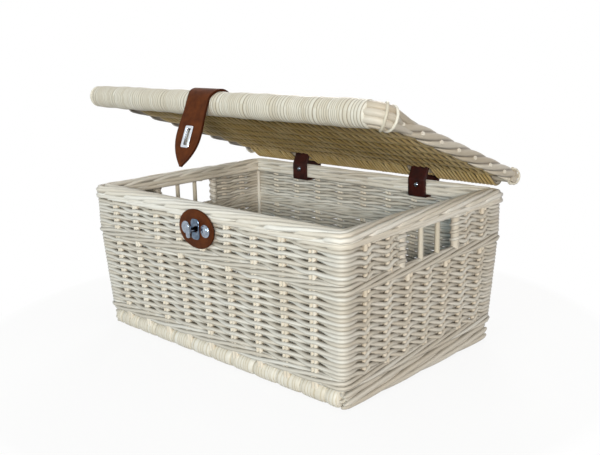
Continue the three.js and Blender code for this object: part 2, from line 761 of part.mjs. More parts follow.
function slotPath(width, length, radius) {
  const outline = roundedRect(width, length, radius).getPoints(2);
  return new THREE.Path(outline.map((p) => p.add(new THREE.Vector2(0, -slotDrop))));
}
const leafShape = leaf();
leafShape.holes.push(slotPath(eyeletWidth + 2 * seatGap, eyeletLength + 2 * seatGap, eyeletWall));
const blade = frontPlate(leafShape, strapLeather, 6).translate(0, strapLeather / 2, 0);
const bendRadius = strapLeather / 2;
const bendRound = new THREE.CylinderGeometry(bendRadius, bendRadius, strapNeckWidth, rivetSegments);
place(tongue, "strap_tongue", join(blade, bendRound.rotateZ(Math.PI / 2)), leather);

// Chrome eyelet of the slot, its sleeve pushed through the leather into a washer behind
const eyeletSeat = strapLeather / 2 + seatGap;
const flangeWidth = eyeletWidth + 2 * eyeletFlange;
const flangeLength = eyeletLength + 2 * eyeletFlange;
const flange = roundedRect(flangeWidth, flangeLength, eyeletFlange);
flange.holes.push(new THREE.Path(roundedRect(slotWidth, slotLength, eyeletWall).getPoints(2)));
const sleeve = roundedRect(eyeletWidth, eyeletLength, eyeletWall);
sleeve.holes.push(new THREE.Path(roundedRect(slotWidth, slotLength, eyeletWall).getPoints(2)));
const eyelet = join(
  frontPlate(flange, eyeletThickness).translate(0, -eyeletSeat, 0),
  frontPlate(sleeve, 2 * eyeletSeat + eyeletThickness).translate(0, eyeletSeat, 0),
);
place(tongue, "slot_eyelet", eyelet, chrome, 0, 0, -slotDrop);
const washer = roundedRect(flangeWidth, flangeLength, eyeletFlange);
const sleeveHole = roundedRect(eyeletWidth + 2 * seatGap, eyeletLength + 2 * seatGap, eyeletWall);
washer.holes.push(new THREE.Path(sleeveHole.getPoints(2)));
const washerPlate = frontPlate(washer, eyeletThickness).translate(0, eyeletSeat + eyeletThickness, 0);
place(tongue, "slot_washer", washerPlate, chrome, 0, 0, -slotDrop);

// Turn lock: oval leather patch over the wall and the border's lower rods, plate, knob and two rivets
const lockZ = rimHeight - lockDrop;
const patchBackY = wallY + seatGap;
const patchFaceY = borderY + seatGap + patchLeather;
const oval = new THREE.Shape();
oval.absellipse(0, 0, patchLength / 2, patchHeight / 2, 0, 2 * Math.PI);
for (const sign of [-1, 1]) {
  oval.holes.push(circle((sign * patchRivetSpacing) / 2, 0, rivetHoleRadius));
}
const patchPlate = frontPlate(oval, patchFaceY - patchBackY, 14).translate(0, -patchBackY, lockZ);
const borderSeat = box(
  vec(-patchLength, -borderY - seatGap, borderBottom - seatGap),
  vec(patchLength, 0, rimHeight + patchHeight),
);
const waleSeat = box(
  vec(-patchLength, -wallY - waleProud - seatGap, middleWaleBottom - seatGap),
  vec(patchLength, 0, middleWaleTop + seatGap),
);
place(basket, "lock_patch", cut(patchPlate, borderSeat, waleSeat), leather);
const plate = roundedRect(lockPlateWidth, lockPlateHeight, lockPlateWidth / 3);
const stemRadius = knobWidth / 2;
plate.holes.push(circle(0, 0, stemRadius + seatGap));
const lockPlate = frontPlate(plate, lockPlateThickness);
place(basket, "lock_plate", lockPlate, chrome, 0, -patchFaceY - seatGap, lockZ);
const patchRivetHeight = lockPlateThickness + seatGap + eyeletThickness; // stays behind the pressed strap
for (const [side, sign] of [["left", -1], ["right", 1]]) {
  const stud = rivet(patchRivetRadius, patchLeather - seatGap, patchRivetHeight);
  const head = turnedOutwards(stud, rivetSegments);
  const x = (sign * patchRivetSpacing) / 2;
  place(basket, `lock_${side}_rivet`, head, chrome, x, -patchFaceY - seatGap, lockZ);
}

// The knob's bar stands in front of the strap when the lid is shut, whether the tongue hangs straight or
// lies on the plate
const hangingFaceY = lidReach - hingeY + rollSeat + strapLeather + seatGap + eyeletThickness;
const plateFaceY = patchFaceY + seatGap + lockPlateThickness;
const lyingFaceY = plateFaceY + seatGap + 2 * eyeletThickness + 2 * eyeletSeat;
const barBackY = Math.max(hangingFaceY, lyingFaceY) + knobClearance;
const barRadius = knobWidth / 2 - knobBevel - 0.01; // just under half its width, so that no side vanishes
const bar = roundedRect(knobWidth - 2 * knobBevel, knobLength - 2 * knobBevel, barRadius);
const barBody = new THREE.ExtrudeGeometry(bar, {
  depth: knobDepth - 2 * knobBevel,
  bevelThickness: knobBevel,
  bevelSize: knobBevel,
  bevelSegments: 1,
  curveSegments: 3,
});
barBody.applyMatrix4(new THREE.Matrix4().makeBasis(vec(1, 0, 0), vec(0, 0, 1), vec(0, -1, 0)));
barBody.translate(0, -barBackY - knobBevel, 0);
const stemBackY = patchFaceY + seatGap;
const stemLength = barBackY + knobDepth / 2 - stemBackY;
const stem = new THREE.CylinderGeometry(stemRadius, stemRadius, stemLength, rivetSegments);
stem.translate(0, -stemBackY - stemLength / 2, 0);
place(basket, "lock_knob", join(barBody, stem), chrome, 0, 0, lockZ);

export default basket;
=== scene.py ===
import math
import random

import bmesh
import bpy
from mathutils import Matrix, Vector


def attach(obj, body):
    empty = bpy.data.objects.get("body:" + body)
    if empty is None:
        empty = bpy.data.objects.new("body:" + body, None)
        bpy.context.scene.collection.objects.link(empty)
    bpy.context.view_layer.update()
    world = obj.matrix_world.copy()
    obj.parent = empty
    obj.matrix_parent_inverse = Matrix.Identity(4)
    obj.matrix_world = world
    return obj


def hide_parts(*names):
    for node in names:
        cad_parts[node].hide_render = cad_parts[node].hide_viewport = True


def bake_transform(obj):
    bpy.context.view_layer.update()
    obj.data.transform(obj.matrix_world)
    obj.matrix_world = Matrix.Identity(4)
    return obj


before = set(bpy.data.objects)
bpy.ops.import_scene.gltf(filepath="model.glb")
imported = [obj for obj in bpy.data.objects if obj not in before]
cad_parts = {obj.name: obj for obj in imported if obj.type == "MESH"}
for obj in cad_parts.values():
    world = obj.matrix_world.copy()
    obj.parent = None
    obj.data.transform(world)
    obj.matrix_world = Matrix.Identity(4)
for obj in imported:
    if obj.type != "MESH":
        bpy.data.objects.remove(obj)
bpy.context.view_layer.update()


# Camera, where the photographer stood: off the front right corner, a little above the open lid's edge.
# Its place is in metres.
camera_place = (0.639455, -0.641943, 0.342045)
camera_azimuth = math.radians(44.237)
camera_elevation = math.radians(13.439)
camera_roll = math.radians(-1.259)
camera_lens = 48.385
level = Vector((math.cos(camera_azimuth), math.sin(camera_azimuth), 0))
backwards = Vector(
    (
        math.sin(camera_azimuth) * math.cos(camera_elevation),
        -math.cos(camera_azimuth) * math.cos(camera_elevation),
        math.sin(camera_elevation),
    )
)
upwards = backwards.cross(level)
camera_right = level * math.cos(camera_roll) + upwards * math.sin(camera_roll)
camera_up = upwards * math.cos(camera_roll) - level * math.sin(camera_roll)
camera_axes = Matrix((camera_right, camera_up, backwards)).transposed().to_4x4()


def placed(name, data):
    # A new object of the scene, at the origin
    thing = bpy.data.objects.new(name, data)
    bpy.context.scene.collection.objects.link(thing)
    return thing


camera_data = bpy.data.cameras.new("camera")
camera_data.sensor_width = 36
camera_data.sensor_fit = "HORIZONTAL"
camera_data.lens = camera_lens
camera = placed("camera", camera_data)
camera.matrix_world = Matrix.Translation(camera_place) @ camera_axes
bpy.context.scene.camera = camera


# Willow rods. Each is a peeled shoot, round and tapering, bent while wet. Every woven part of the
# basket is made of them, so the tree that turns paths into rods comes first.
def add(tree, kind, inputs=(), **settings):
    node = tree.nodes.new(kind)
    for name, value in settings.items():
        setattr(node, name, value)
    for key, value in dict(inputs).items():
        if isinstance(value, bpy.types.NodeSocket):
            tree.links.new(value, node.inputs[key])
        else:
            node.inputs[key].default_value = value
    return node


def linear(colour):
    channels = []
    for start in (1, 3, 5):
        c = int(colour[start:start + 2], 16) / 255
        channels.append(c / 12.92 if c <= 0.04045 else ((c + 0.055) / 1.055) ** 2.4)
    return (*channels, 1)


def rod_tree():
    # Sweeps a round section along each path and keeps what the willow reads: a tone for each rod, the
    # length run, the place round the section, and the painted shade on the flanks that touch the next
    # rods
    crease_shade_from = 0.54
    crease_shade_full = 0.94
    tree = bpy.data.node_groups.new("willow rods", "GeometryNodeTree")
    kinds = {"Sides": "Int", "Seed": "Int", "Crease Shade": "Float", "Material": "Material"}
    for name, kind in {"Geometry": "Geometry", **kinds}.items():
        tree.interface.new_socket(name, in_out="INPUT", socket_type="NodeSocket" + kind)
    tree.interface.new_socket("Geometry", in_out="OUTPUT", socket_type="NodeSocketGeometry")
    given = add(tree, "NodeGroupInput").outputs
    number = add(tree, "GeometryNodeInputIndex").outputs[0]
    chance = add(tree, "FunctionNodeRandomValue", {"ID": number, "Seed": given["Seed"]}, data_type="FLOAT")
    toned = add(
        tree,
        "GeometryNodeStoreNamedAttribute",
        {"Geometry": given["Geometry"], "Name": "tone", "Value": chance.outputs[1]},
        data_type="FLOAT",
        domain="CURVE",
    )
    run = add(tree, "GeometryNodeSplineParameter").outputs["Length"]
    measured = add(
        tree,
        "GeometryNodeStoreNamedAttribute",
        {"Geometry": toned.outputs[0], "Name": "along", "Value": run},
        data_type="FLOAT",
        domain="POINT",
    )
    circle = {"Resolution": given["Sides"], "Radius": 1.0}
    round_section = add(tree, "GeometryNodeCurvePrimitiveCircle", circle)
    spot = add(tree, "GeometryNodeInputPosition").outputs[0]
    section = add(
        tree,
        "GeometryNodeStoreNamedAttribute",
        {"Geometry": round_section.outputs[0], "Name": "around", "Value": spot},
        data_type="FLOAT_VECTOR",
        domain="POINT",
    )
    # Painted shade: the flanks of the section, where a rod lies against the next ones, get a value that the
    # willow darkens
    height = add(tree, "ShaderNodeSeparateXYZ", {0: spot}).outputs["Y"]
    aside = add(tree, "ShaderNodeMath", {0: height}, operation="ABSOLUTE").outputs[0]
    flank = {"Value": aside, "From Min": crease_shade_from, "From Max": crease_shade_full, "To Max": given["Crease Shade"]}
    tucked = add(tree, "ShaderNodeMapRange", flank).outputs["Result"]
    crease_shaded = add(
        tree,
        "GeometryNodeStoreNamedAttribute",
        {"Geometry": section.outputs[0], "Name": "crease_shade", "Value": tucked},
        data_type="FLOAT",
        domain="POINT",
    )
    thickness = add(tree, "GeometryNodeInputRadius").outputs[0]
    sweep = {"Curve": measured.outputs[0], "Profile Curve": crease_shaded.outputs[0], "Scale": thickness}
    swept = add(tree, "GeometryNodeCurveToMesh", {**sweep, "Fill Caps": True})
    smooth = add(tree, "GeometryNodeSetShadeSmooth", {"Geometry": swept.outputs[0]})
    real = add(tree, "GeometryNodeRealizeInstances", {"Geometry": smooth.outputs[0]})
    coat = {"Geometry": real.outputs[0], "Material": given["Material"]}
    painted = add(tree, "GeometryNodeSetMaterial", coat)
    add(tree, "NodeGroupOutput", {"Geometry": painted.outputs[0]})
    return tree


rods_tree = rod_tree()


def rods(name, paths, material, sides=8, seed=1, crease_shading=0.0):
    # paths holds (points, radii, closed) for each rod, and the turn of its section where that matters
    data = bpy.data.curves.new(name, "CURVE")
    data.dimensions = "3D"
    # The last argument sets how strongly the rods' flanks are darkened with painted shade
    data.twist_mode = "Z_UP" if crease_shading else "MINIMUM"
    for points, radii, closed, *tilts in paths:
        spline = data.splines.new("POLY")
        spline.points.add(len(points) - 1)
        places = [c for p in points for c in (p[0] / 1000, p[1] / 1000, p[2] / 1000, 1)]
        spline.points.foreach_set("co", places)
        spline.points.foreach_set("radius", [r / 1000 for r in radii])
        for turns in tilts:
            spline.points.foreach_set("tilt", turns)
        spline.use_cyclic_u = closed
    carrier = placed(name + "_path", data)
    modifier = carrier.modifiers.new("rods", "NODES")
    modifier.node_group = rods_tree
    given = {"Sides": sides, "Seed": seed, "Crease Shade": crease_shading, "Material": material}
    for item in rods_tree.interface.items_tree:
        if item.in_out == "INPUT" and item.name in given:
            modifier[item.identifier] = given[item.name]
    graph = bpy.context.evaluated_depsgraph_get()
    mesh = bpy.data.meshes.new_from_object(carrier.evaluated_get(graph), depsgraph=graph)
    mesh.name = name
    bpy.data.objects.remove(carrier)
    bpy.data.curves.remove(data)
    return placed(name, mesh)


def even_rod(points, radius, closed=False, turn=None):
    # The path of a rod that is equally thick all along
    path = (points, [radius] * len(points), closed)
    return path if turn is None else (*path, [turn] * len(points))


def blank_material(name):
    # A new material with its tree and its shader
    material = bpy.data.materials.new(name)
    material.use_nodes = True
    return material, material.node_tree, material.node_tree.nodes["Principled BSDF"]


def willow(name, pale, deep, mark, crease_shade_colour, under=None):
    # Peeled willow, satin: every rod has its own tone, fine lines run along it, a few brown marks
    # remain, and painted shade darkens the creases where rods lie side by side. Where under is given,
    # the side that faces down is browner, partly willow's own tone and partly painted shade. The lines
    # are drawn wider than real ones, so that they show
    rod_radius = 2.4
    line_width = 0.75
    line_length = 14.2
    patch_width = 4.8
    rods_apart = 90.0
    material, tree, shader = blank_material(name)
    tone = add(tree, "ShaderNodeAttribute", attribute_name="tone").outputs["Fac"]
    along = add(tree, "ShaderNodeAttribute", attribute_name="along").outputs["Fac"]
    around = add(tree, "ShaderNodeAttribute", attribute_name="around").outputs["Vector"]
    turn = add(tree, "ShaderNodeSeparateXYZ", {0: around})
    stretch = 1000 / line_length * line_width / rod_radius
    length = add(tree, "ShaderNodeMath", {0: along, 1: stretch}, operation="MULTIPLY").outputs[0]
    grain = add(tree, "ShaderNodeCombineXYZ", {"X": length, "Y": turn.outputs["X"], "Z": turn.outputs["Y"]})
    shift = add(tree, "ShaderNodeMath", {0: tone, 1: rods_apart}, operation="MULTIPLY").outputs[0]
    place = {"Vector": grain.outputs[0], "W": shift}
    fine = {**place, "Scale": rod_radius / line_width, "Detail": 4.0, "Roughness": 0.6}
    lines = add(tree, "ShaderNodeTexNoise", fine, noise_dimensions="4D").outputs["Fac"]
    broad = {**place, "Scale": rod_radius / patch_width, "Detail": 2.0}
    slow = add(tree, "ShaderNodeTexNoise", broad, noise_dimensions="4D").outputs["Fac"]
    mixed = add(tree, "ShaderNodeMath", {0: tone, 1: slow}, operation="ADD").outputs[0]
    spread = {"Value": mixed, "From Min": 0.35, "From Max": 1.45}
    blend = add(tree, "ShaderNodeMapRange", spread).outputs["Result"]
    tones = {0: blend, 6: linear(pale), 7: linear(deep)}
    body = add(tree, "ShaderNodeMix", tones, data_type="RGBA").outputs[2]
    # The downward side is mixed towards a browner colour: partly willow's own tone, partly painted shade
    if under:
        tones = {0: blend, 6: linear(under[0]), 7: linear(under[1])}
        brown = add(tree, "ShaderNodeMix", tones, data_type="RGBA").outputs[2]
        downwards = {"Value": turn.outputs["X"], "From Min": -0.3, "From Max": 0.2}
        below = add(tree, "ShaderNodeMapRange", downwards).outputs["Result"]
        body = add(tree, "ShaderNodeMix", {0: below, 6: body, 7: brown}, data_type="RGBA").outputs[2]
    strong = {"Value": lines, "From Min": 0.58, "From Max": 0.8, "To Max": 0.4}
    streak = add(tree, "ShaderNodeMapRange", strong).outputs["Result"]
    marked = add(tree, "ShaderNodeMix", {0: streak, 6: body, 7: linear(mark)}, data_type="RGBA").outputs[2]
    # Painted shade: the creases where rods lie side by side are mixed towards the crease colour
    crease_shade = add(tree, "ShaderNodeAttribute", attribute_name="crease_shade").outputs["Fac"]
    crease_shade_mix = {0: crease_shade, 6: marked, 7: linear(crease_shade_colour)}
    shaded = add(tree, "ShaderNodeMix", crease_shade_mix, data_type="RGBA").outputs[2]
    tree.links.new(shaded, shader.inputs["Base Color"])
    satin = {"Value": lines, "To Min": 0.34, "To Max": 0.56}
    gloss = add(tree, "ShaderNodeMapRange", satin).outputs["Result"]
    tree.links.new(gloss, shader.inputs["Roughness"])
    bump = add(tree, "ShaderNodeBump", {"Strength": 0.25, "Distance": 0.0004, "Height": lines})
    tree.links.new(bump.outputs[0], shader.inputs["Normal"])
    return material


# Base. A mat of willow on thick sticks, its long sides bound with flat skein into two wrapped rolls
# that the basket stands on, its short sides finished with five rods twisted together.
# The last colour of each willow is the painted shade in its creases
wall_willow = willow("peeled willow", "#e6e3db", "#d1c9bb", "#a08d6f", "#5f5443")
base_skein = willow("bleached willow skein", "#e6e1d6", "#dbd3c3", "#b5a180", "#bcad8e")
dice = random.Random(11)
left_right = (("left", -1), ("right", 1))


def between(a, b, t):
    # The value a share t of the way from a to b
    return a + (b - a) * t


def dress(piece, body, slot, *nodes):
    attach(piece, body)
    if nodes:
        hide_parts(*nodes)


def surface(name, rings, material, closed=False):
    # Closed skin over rings of points, the ends filled or the last ring joined to the first
    count = len(rings[0])
    points = [[c / 1000 for c in place] for ring in rings for place in ring]
    faces = []
    for i in range(len(rings) if closed else len(rings) - 1):
        here = i * count
        after = (i + 1) % len(rings) * count
        for k in range(count):
            n = (k + 1) % count
            faces.append((here + k, here + n, after + n, after + k))
    if not closed:
        faces.append(tuple(reversed(range(count))))
        faces.append(tuple(range((len(rings) - 1) * count, len(rings) * count)))
    mesh = bpy.data.meshes.new(name)
    mesh.from_pydata(points, [], faces)
    shape = bmesh.new()
    shape.from_mesh(mesh)
    bmesh.ops.recalc_face_normals(shape, faces=shape.faces)
    shape.to_mesh(mesh)
    shape.free()
    mesh.polygons.foreach_set("use_smooth", [True] * len(mesh.polygons))
    mesh.materials.append(material)
    return placed(name, mesh)


def store_values(mesh, name, values):
    # One value for each point, which the material reads by its name
    mesh.attributes.new(name, "FLOAT", "POINT").data.foreach_set("value", values)


def wound(name, spot, left, right, radius_at, turn_at, step, material):
    # One skin over a whole winding. spot places a point, and turn_at gives the turn's number, how far
    # its edges fall off and how far the winding is drawn in there
    steps = round((right - left) / step)
    around = 44
    tone_count = 211
    least_radius = 0.4
    skein_grain = 1.5
    crease_shade_from = 0.66
    rings = []
    tones = []
    alongs = []
    arounds = []
    crease_shades = []
    turn_tones = [dice.random() for _ in range(tone_count)]
    for i in range(steps + 1):
        x = between(left, right, i / steps)
        ring = []
        for k in range(around):
            angle = 2 * math.pi * k / around
            turns, arch, drawn = turn_at(x, angle)
            across = 2 * (turns % 1) - 1
            r = max(radius_at(x) - arch * across ** 4 - drawn, least_radius)
            ring.append(spot(x, r * math.cos(angle), r * math.sin(angle)))
            tones.append(turn_tones[math.floor(turns) % tone_count])
            alongs.append(r * angle / 1000)
            arounds.extend((across * skein_grain, 0, 0))
            # Painted shade: each turn darkens towards its edges, where it meets the next
            crease_shades.append(max(0, (abs(across) - crease_shade_from) / (1 - crease_shade_from)))
        rings.append(ring)
    piece = surface(name, rings, material)
    store_values(piece.data, "tone", tones)
    store_values(piece.data, "along", alongs)
    store_values(piece.data, "crease_shade", crease_shades)
    piece.data.attributes.new("around", "FLOAT_VECTOR", "POINT").data.foreach_set("vector", arounds)
    return piece


def unsteady(x, slow, fine):
    # How far turns that are wound by hand stray along a roll, in turns
    return slow * math.sin(x / 7) + fine * math.sin(x / 2.9)


# Base rolls. Flat skein is wound over a bundle of sticks, in turns that stray a little, and closes in
# over the bundle's ends.
base_roll_radius = 10.4
base_roll_left = 186.5
base_roll_right = 179.5
base_roll_y = 116.9
base_skein_width = 4.2
base_arch = 0.25
base_bundle = 33.5
base_pull = 1.6
base_left_closing = 172
base_left_closing_run = 14.5
base_right_closing = 174
base_right_closing_run = 8


def base_turn(x, angle):
    # Fine turns, with the winding pulled in hard where a stake goes down through the roll
    turns = x / base_skein_width + angle / (2 * math.pi) + unsteady(x, 0.5, 0.25)
    bundle = 2 * ((x / base_bundle + angle / (12 * math.pi)) % 1) - 1
    return turns, base_arch, base_pull * abs(bundle) ** 6


def base_radius(x):
    left_rest = (-x - base_left_closing) / base_left_closing_run
    right_rest = (x - base_right_closing) / base_right_closing_run
    rest = max(0, left_rest, right_rest)
    return base_roll_radius * math.sqrt(1 - 0.7 * rest ** 2.2)


def base_spot(sign):
    return lambda x, a, b: (x, sign * base_roll_y + a, base_roll_radius + b)


for side, sign in (("front", -1), ("back", 1)):
    roll = wound(
        f"{side}_base_skein",
        base_spot(sign),
        -base_roll_left,
        base_roll_right,
        base_radius,
        base_turn,
        step=0.8,
        material=base_skein,
    )
    dress(roll, "basket", "pale_willow", f"base_{side}_roll")

# Base mat. Thin weavers go over and under the sticks that run from end to end, and their ends are
# held in the two rolls.
mat_z = 4.6
mat_sticks = 8
mat_stick_x = 178
mat_stick_y = 90
mat_stick_pitch = 25.7
mat_stick_radius = 3.0
stick_paths = []
for i in range(mat_sticks):
    y = between(-mat_stick_y, mat_stick_y, i / (mat_sticks - 1))
    points = [(x, y, mat_z) for x in (-mat_stick_x, 0, mat_stick_x)]
    stick_paths.append(even_rod(points, mat_stick_radius))
base_sticks = rods("base_sticks", stick_paths, wall_willow, seed=3)
dress(base_sticks, "basket", "willow")

mat_weavers = 73
mat_x = 175
mat_y = 106
mat_rod = 2.3
mat_swing = 2.2
mat_steps = 56
mat_paths = []
for i in range(mat_weavers):
    x = between(-mat_x, mat_x, i / (mat_weavers - 1))
    over = 1 if i % 2 else -1
    points = []
    for j in range(mat_steps + 1):
        y = between(-mat_y, mat_y, j / mat_steps)
        swing = math.cos(math.pi * (y + mat_stick_y) / mat_stick_pitch)
        points.append((x, y, mat_z + over * mat_swing * swing))
    mat_paths.append(even_rod(points, mat_rod))
base_mat = rods("base_mat", mat_paths, wall_willow, sides=6, seed=4)
dress(base_mat, "basket", "willow", "base_panel")

# Base edges. Five rods are twisted slowly round a thick one along each short side, and taper off at
# the ends of the rolls.
base_edge_x = 183.8
base_edge_y = 123
base_edge_z = 10.3
base_edge_rod = 3.3
base_edge_tip = 1.5
base_edge_taper = 0.3
base_edge_swing = 2.6
base_edge_rise = 6.7
base_edge_strands = 5
base_edge_twist = 330
base_edge_steps = 60
base_core_x = 182.5
base_core_y = 119
base_core_z = 10.2
base_core_rod = 4.6
for side, sign in left_right:
    core = [(sign * base_core_x, y, base_core_z) for y in (-base_core_y, 0, base_core_y)]
    paths = [even_rod(core, base_core_rod)]
    for strand in range(base_edge_strands):
        points = []
        radii = []
        for i in range(base_edge_steps + 1):
            y = between(-base_edge_y, base_edge_y, i / base_edge_steps)
            angle = 2 * math.pi * (y / base_edge_twist + strand / base_edge_strands + 0.1)
            x = base_edge_x + base_edge_swing * math.cos(angle)
            points.append((sign * x, y, base_edge_z + base_edge_rise * math.sin(angle)))
            radii.append(min(base_edge_rod, base_edge_tip + base_edge_taper * (base_edge_y - abs(y))))
        paths.append((points, radii, False))
    edge = rods(f"base_{side}_edge_rods", paths, wall_willow, sides=12, seed=5, crease_shading=0.5)
    dress(edge, "basket", "willow", f"base_{side}_edge")


# Walls. Weavers run round upright stakes, in front of one and behind the next, the other way in the
# next row, and outside the stake at each corner. Two wales, ropes of rods, lock the stakes.
wall_x = 196.5
wall_y = 134.5
wall_lean = 8
upright_from = 129
wall_depth = 5.5
post_x = 186.5
post_y = 124.5
long_stakes = 9
long_spacing = 39.2
short_stakes = 7
short_spacing = 32.6
wall_sides = (
    ((1, 0), (0, -1), post_x, post_y, long_stakes, long_spacing),
    ((0, 1), (1, 0), post_y, post_x, short_stakes, short_spacing),
    ((-1, 0), (0, 1), post_x, post_y, long_stakes, long_spacing),
    ((0, -1), (-1, 0), post_y, post_x, short_stakes, short_spacing),
)
corners = ((-1, -1), (-1, 1), (1, -1), (1, 1))


def leaning(paths):
    # Below the lock the walls stand further in towards the base
    moved = []
    for points, radii, closed in paths:
        places = []
        for x, y, z in points:
            inset = wall_lean * max(0, upright_from - z) / upright_from
            places.append((x * (1 - inset / wall_x), y * (1 - inset / wall_y), z))
        moved.append((places, radii, closed))
    return moved


def round_corner(along, out, half, distance, radius, angle):
    # Place and outward direction on the corner at the end of a side
    facing = [n * math.cos(angle) + d * math.sin(angle) for d, n in zip(along, out)]
    place = [d * half + n * distance + f * radius for d, n, f in zip(along, out, facing)]
    return (*place, *facing)


stake_touch = 0.14
gap_steps = 10
corner_steps = 5


def wall_line():
    # Stations round the wall: place, outward direction, swing, hold at corners, and the step that a
    # row takes past each stake, which is large on the right wall
    stations = []
    swing = 1
    for along, out, half, distance, count, spacing in wall_sides:
        (dx, dy), (nx, ny) = along, out
        first = -spacing * (count - 1) / 2
        marks = [-half, *(first + spacing * i for i in range(count)), half]
        uneven = 1 if nx > 0 else 0.25
        for i in range(count + 1):
            for j in range(gap_steps):
                f = j / gap_steps
                near = min(1, max(0, (f - stake_touch) / (1 - 2 * stake_touch)))
                ease = near * near * (3 - 2 * near)
                t = between(marks[i], marks[i + 1], f)
                place = (dx * t + nx * (distance + wall_depth), dy * t + ny * (distance + wall_depth))
                hold = 1 - ease if i == 0 else ease if i == count else 0
                here = swing if i in (0, count) else swing * (1 - 2 * ease)
                step = uneven * (1 - hold) * math.sin(2 * math.pi * f + 0.6 * math.sin(2 * math.pi * f))
                stations.append((*place, nx, ny, here, hold, step))
            if 0 < i < count:
                swing = -swing
        for j in range(corner_steps):
            angle = math.pi / 2 * j / corner_steps
            stations.append((*round_corner(along, out, half, distance, wall_depth, angle), swing, 1, 0))
        swing = -swing
    return stations


def drift(waves=(2, 3, 5, 9)):
    # Slow wander of one row, the same where the row meets itself
    parts = [(w, dice.uniform(0, 2 * math.pi), dice.uniform(0.4, 1) / w ** 0.5) for w in waves]
    return lambda f: sum(a * math.sin(2 * math.pi * w * f + p) for w, p, a in parts) / 2


rod_out = 2.4
rod_in = 3.0
corner_out = 1.3
row_step = 2.7
row_wander = 0.3
row_swell = 0.12
first_row = 34.6
row_pitch = 4.1
lower_rows = 20
# How strongly the creases between wall rows are darkened with painted shade
weave_crease_shading = 0.88
stations = wall_line()


def weave_row(row, z, line, closed=True):
    # One weaver along the stations of line, out before a stake where the row below is in behind it
    wander = drift()
    swell = drift()
    direction = 1 if row % 2 else -1
    thick = dice.uniform(2.5, 2.7)
    points = []
    radii = []
    for i, (x, y, nx, ny, swing, hold, step) in enumerate(line):
        f = i / len(line)
        side = swing * direction
        out = hold * corner_out + (1 - hold) * side * (rod_out if side > 0 else rod_in)
        points.append((x + nx * out, y + ny * out, z + row_step * step + row_wander * wander(f)))
        radii.append(thick + row_swell * swell(f))
    return points, radii, closed


weave_paths = [weave_row(row, first_row + row_pitch * row, stations) for row in range(lower_rows)]
lower_weave = rods("lower_weavers", leaning(weave_paths), wall_willow, seed=6, crease_shading=weave_crease_shading)
dress(
    lower_weave, "basket", "willow", "front_weave", "back_weave", "left_lower_weave", "right_lower_weave"
)

# Stakes. They stand in pairs, and the weavers pass them in front or behind. On the short walls they
# start above the base edge, and those under the hand opening end at the middle wale.
stake_willow = willow("cream willow", "#e6ded0", "#d8cdbb", "#a58f6b", "#5f5443")
stake_radius = 2.4
stake_out = 1.2
stake_pair = 2.2
stake_heights = (12, 24, 50, 90, 123, 166)
short_wall_foot = 24
under_opening_top = 123
under_opening_y = 50
stake_paths = []
for (dx, dy), (nx, ny), _, distance, count, spacing in wall_sides:
    short_wall = count == short_stakes
    foot = short_wall_foot if short_wall else stake_heights[0]
    for i in range(2 * count):
        middle = spacing * (i // 2 - (count - 1) / 2)
        t = middle + (stake_pair if i % 2 else -stake_pair)
        x = dx * t + nx * (distance + wall_depth + stake_out)
        y = dy * t + ny * (distance + wall_depth + stake_out)
        under_opening = short_wall and abs(middle) < under_opening_y
        top = under_opening_top if under_opening else stake_heights[-1]
        stake_paths.append(even_rod([(x, y, z) for z in stake_heights if foot <= z <= top], stake_radius))
stakes = rods("wall_stakes", leaning(stake_paths), stake_willow, seed=7)
dress(stakes, "basket", "willow")

# Corner stakes. One thin stake of peeled willow stands inside each corner, from the base up to the
# border, and the weavers bend round it.
post_radius = 2.1
post_out = 2.3
post_heights = (18, 50, 90, 129, 168)
post_paths = []
for sx, sy in corners:
    x = sx * (post_x + post_out)
    y = sy * (post_y + post_out)
    post_paths.append(even_rod([(x, y, z) for z in post_heights], post_radius))
posts = rods("corner_stakes", leaning(post_paths), wall_willow, sides=12, seed=8)
corner_nodes = [f"{a}_{b}_corner_post" for a in ("front", "back") for b in ("left", "right")]
dress(posts, "basket", "willow", *corner_nodes)


# Wales. Four rods are twisted round the wall over straight ones, once under the weave and once through
# its middle, where the hand openings start.
def plain_loop(half_x, half_y, corner, spacing):
    # Evenly spaced stations round a rounded rectangle: place, outward direction, distance run
    straight = (2 * (half_x - corner), 2 * (half_y - corner))
    arc = corner * math.pi / 2
    total = 2 * sum(straight) + 4 * arc
    count = round(total / spacing)
    loop = []
    for i in range(count):
        s = total * i / count
        rest = s
        for side, (along, out, *_) in enumerate(wall_sides):
            run = straight[side % 2]
            reach = (half_y, half_x)[side % 2]
            if rest < run:
                place = [d * (rest - run / 2) + n * reach for d, n in zip(along, out)]
                loop.append((*place, *out, s / total))
                break
            rest -= run
            if rest < arc:
                spot = round_corner(along, out, run / 2, reach - corner, corner, rest / corner)
                loop.append((*spot, s / total))
                break
            rest -= arc
    return loop


wale_strands = 4
wale_turns = 8
wale_rod = 2.35
wale_out = 1.4
wale_swing = 2.3
wale_rise = 3.7
wale_heart = 2.5
wale_heart_out = 0.4
wale_heart_pitch = 4.4
wale_spacing = 4.5


def wale(name, z, seed, node):
    line = plain_loop(post_x + wall_depth, post_y + wall_depth, wall_depth, wale_spacing)
    paths = []
    for strand in range(wale_strands):
        wander = drift()
        points = []
        for x, y, nx, ny, f in line:
            angle = 2 * math.pi * (wale_turns * f + strand / wale_strands)
            out = wale_out + wale_swing * math.cos(angle)
            rise = wale_rise * math.sin(angle) + row_wander * wander(f)
            points.append((x + nx * out, y + ny * out, z + rise))
        paths.append(even_rod(points, wale_rod, closed=True))
    out = wale_heart_out
    for rise in (-wale_heart_pitch, 0, wale_heart_pitch):
        heart = [(x + nx * out, y + ny * out, z + rise) for x, y, nx, ny, _ in line]
        paths.append(even_rod(heart, wale_heart, closed=True))
    piece = rods(name, leaning(paths), wall_willow, seed=seed, crease_shading=0.75)
    dress(piece, "basket", "willow", node)


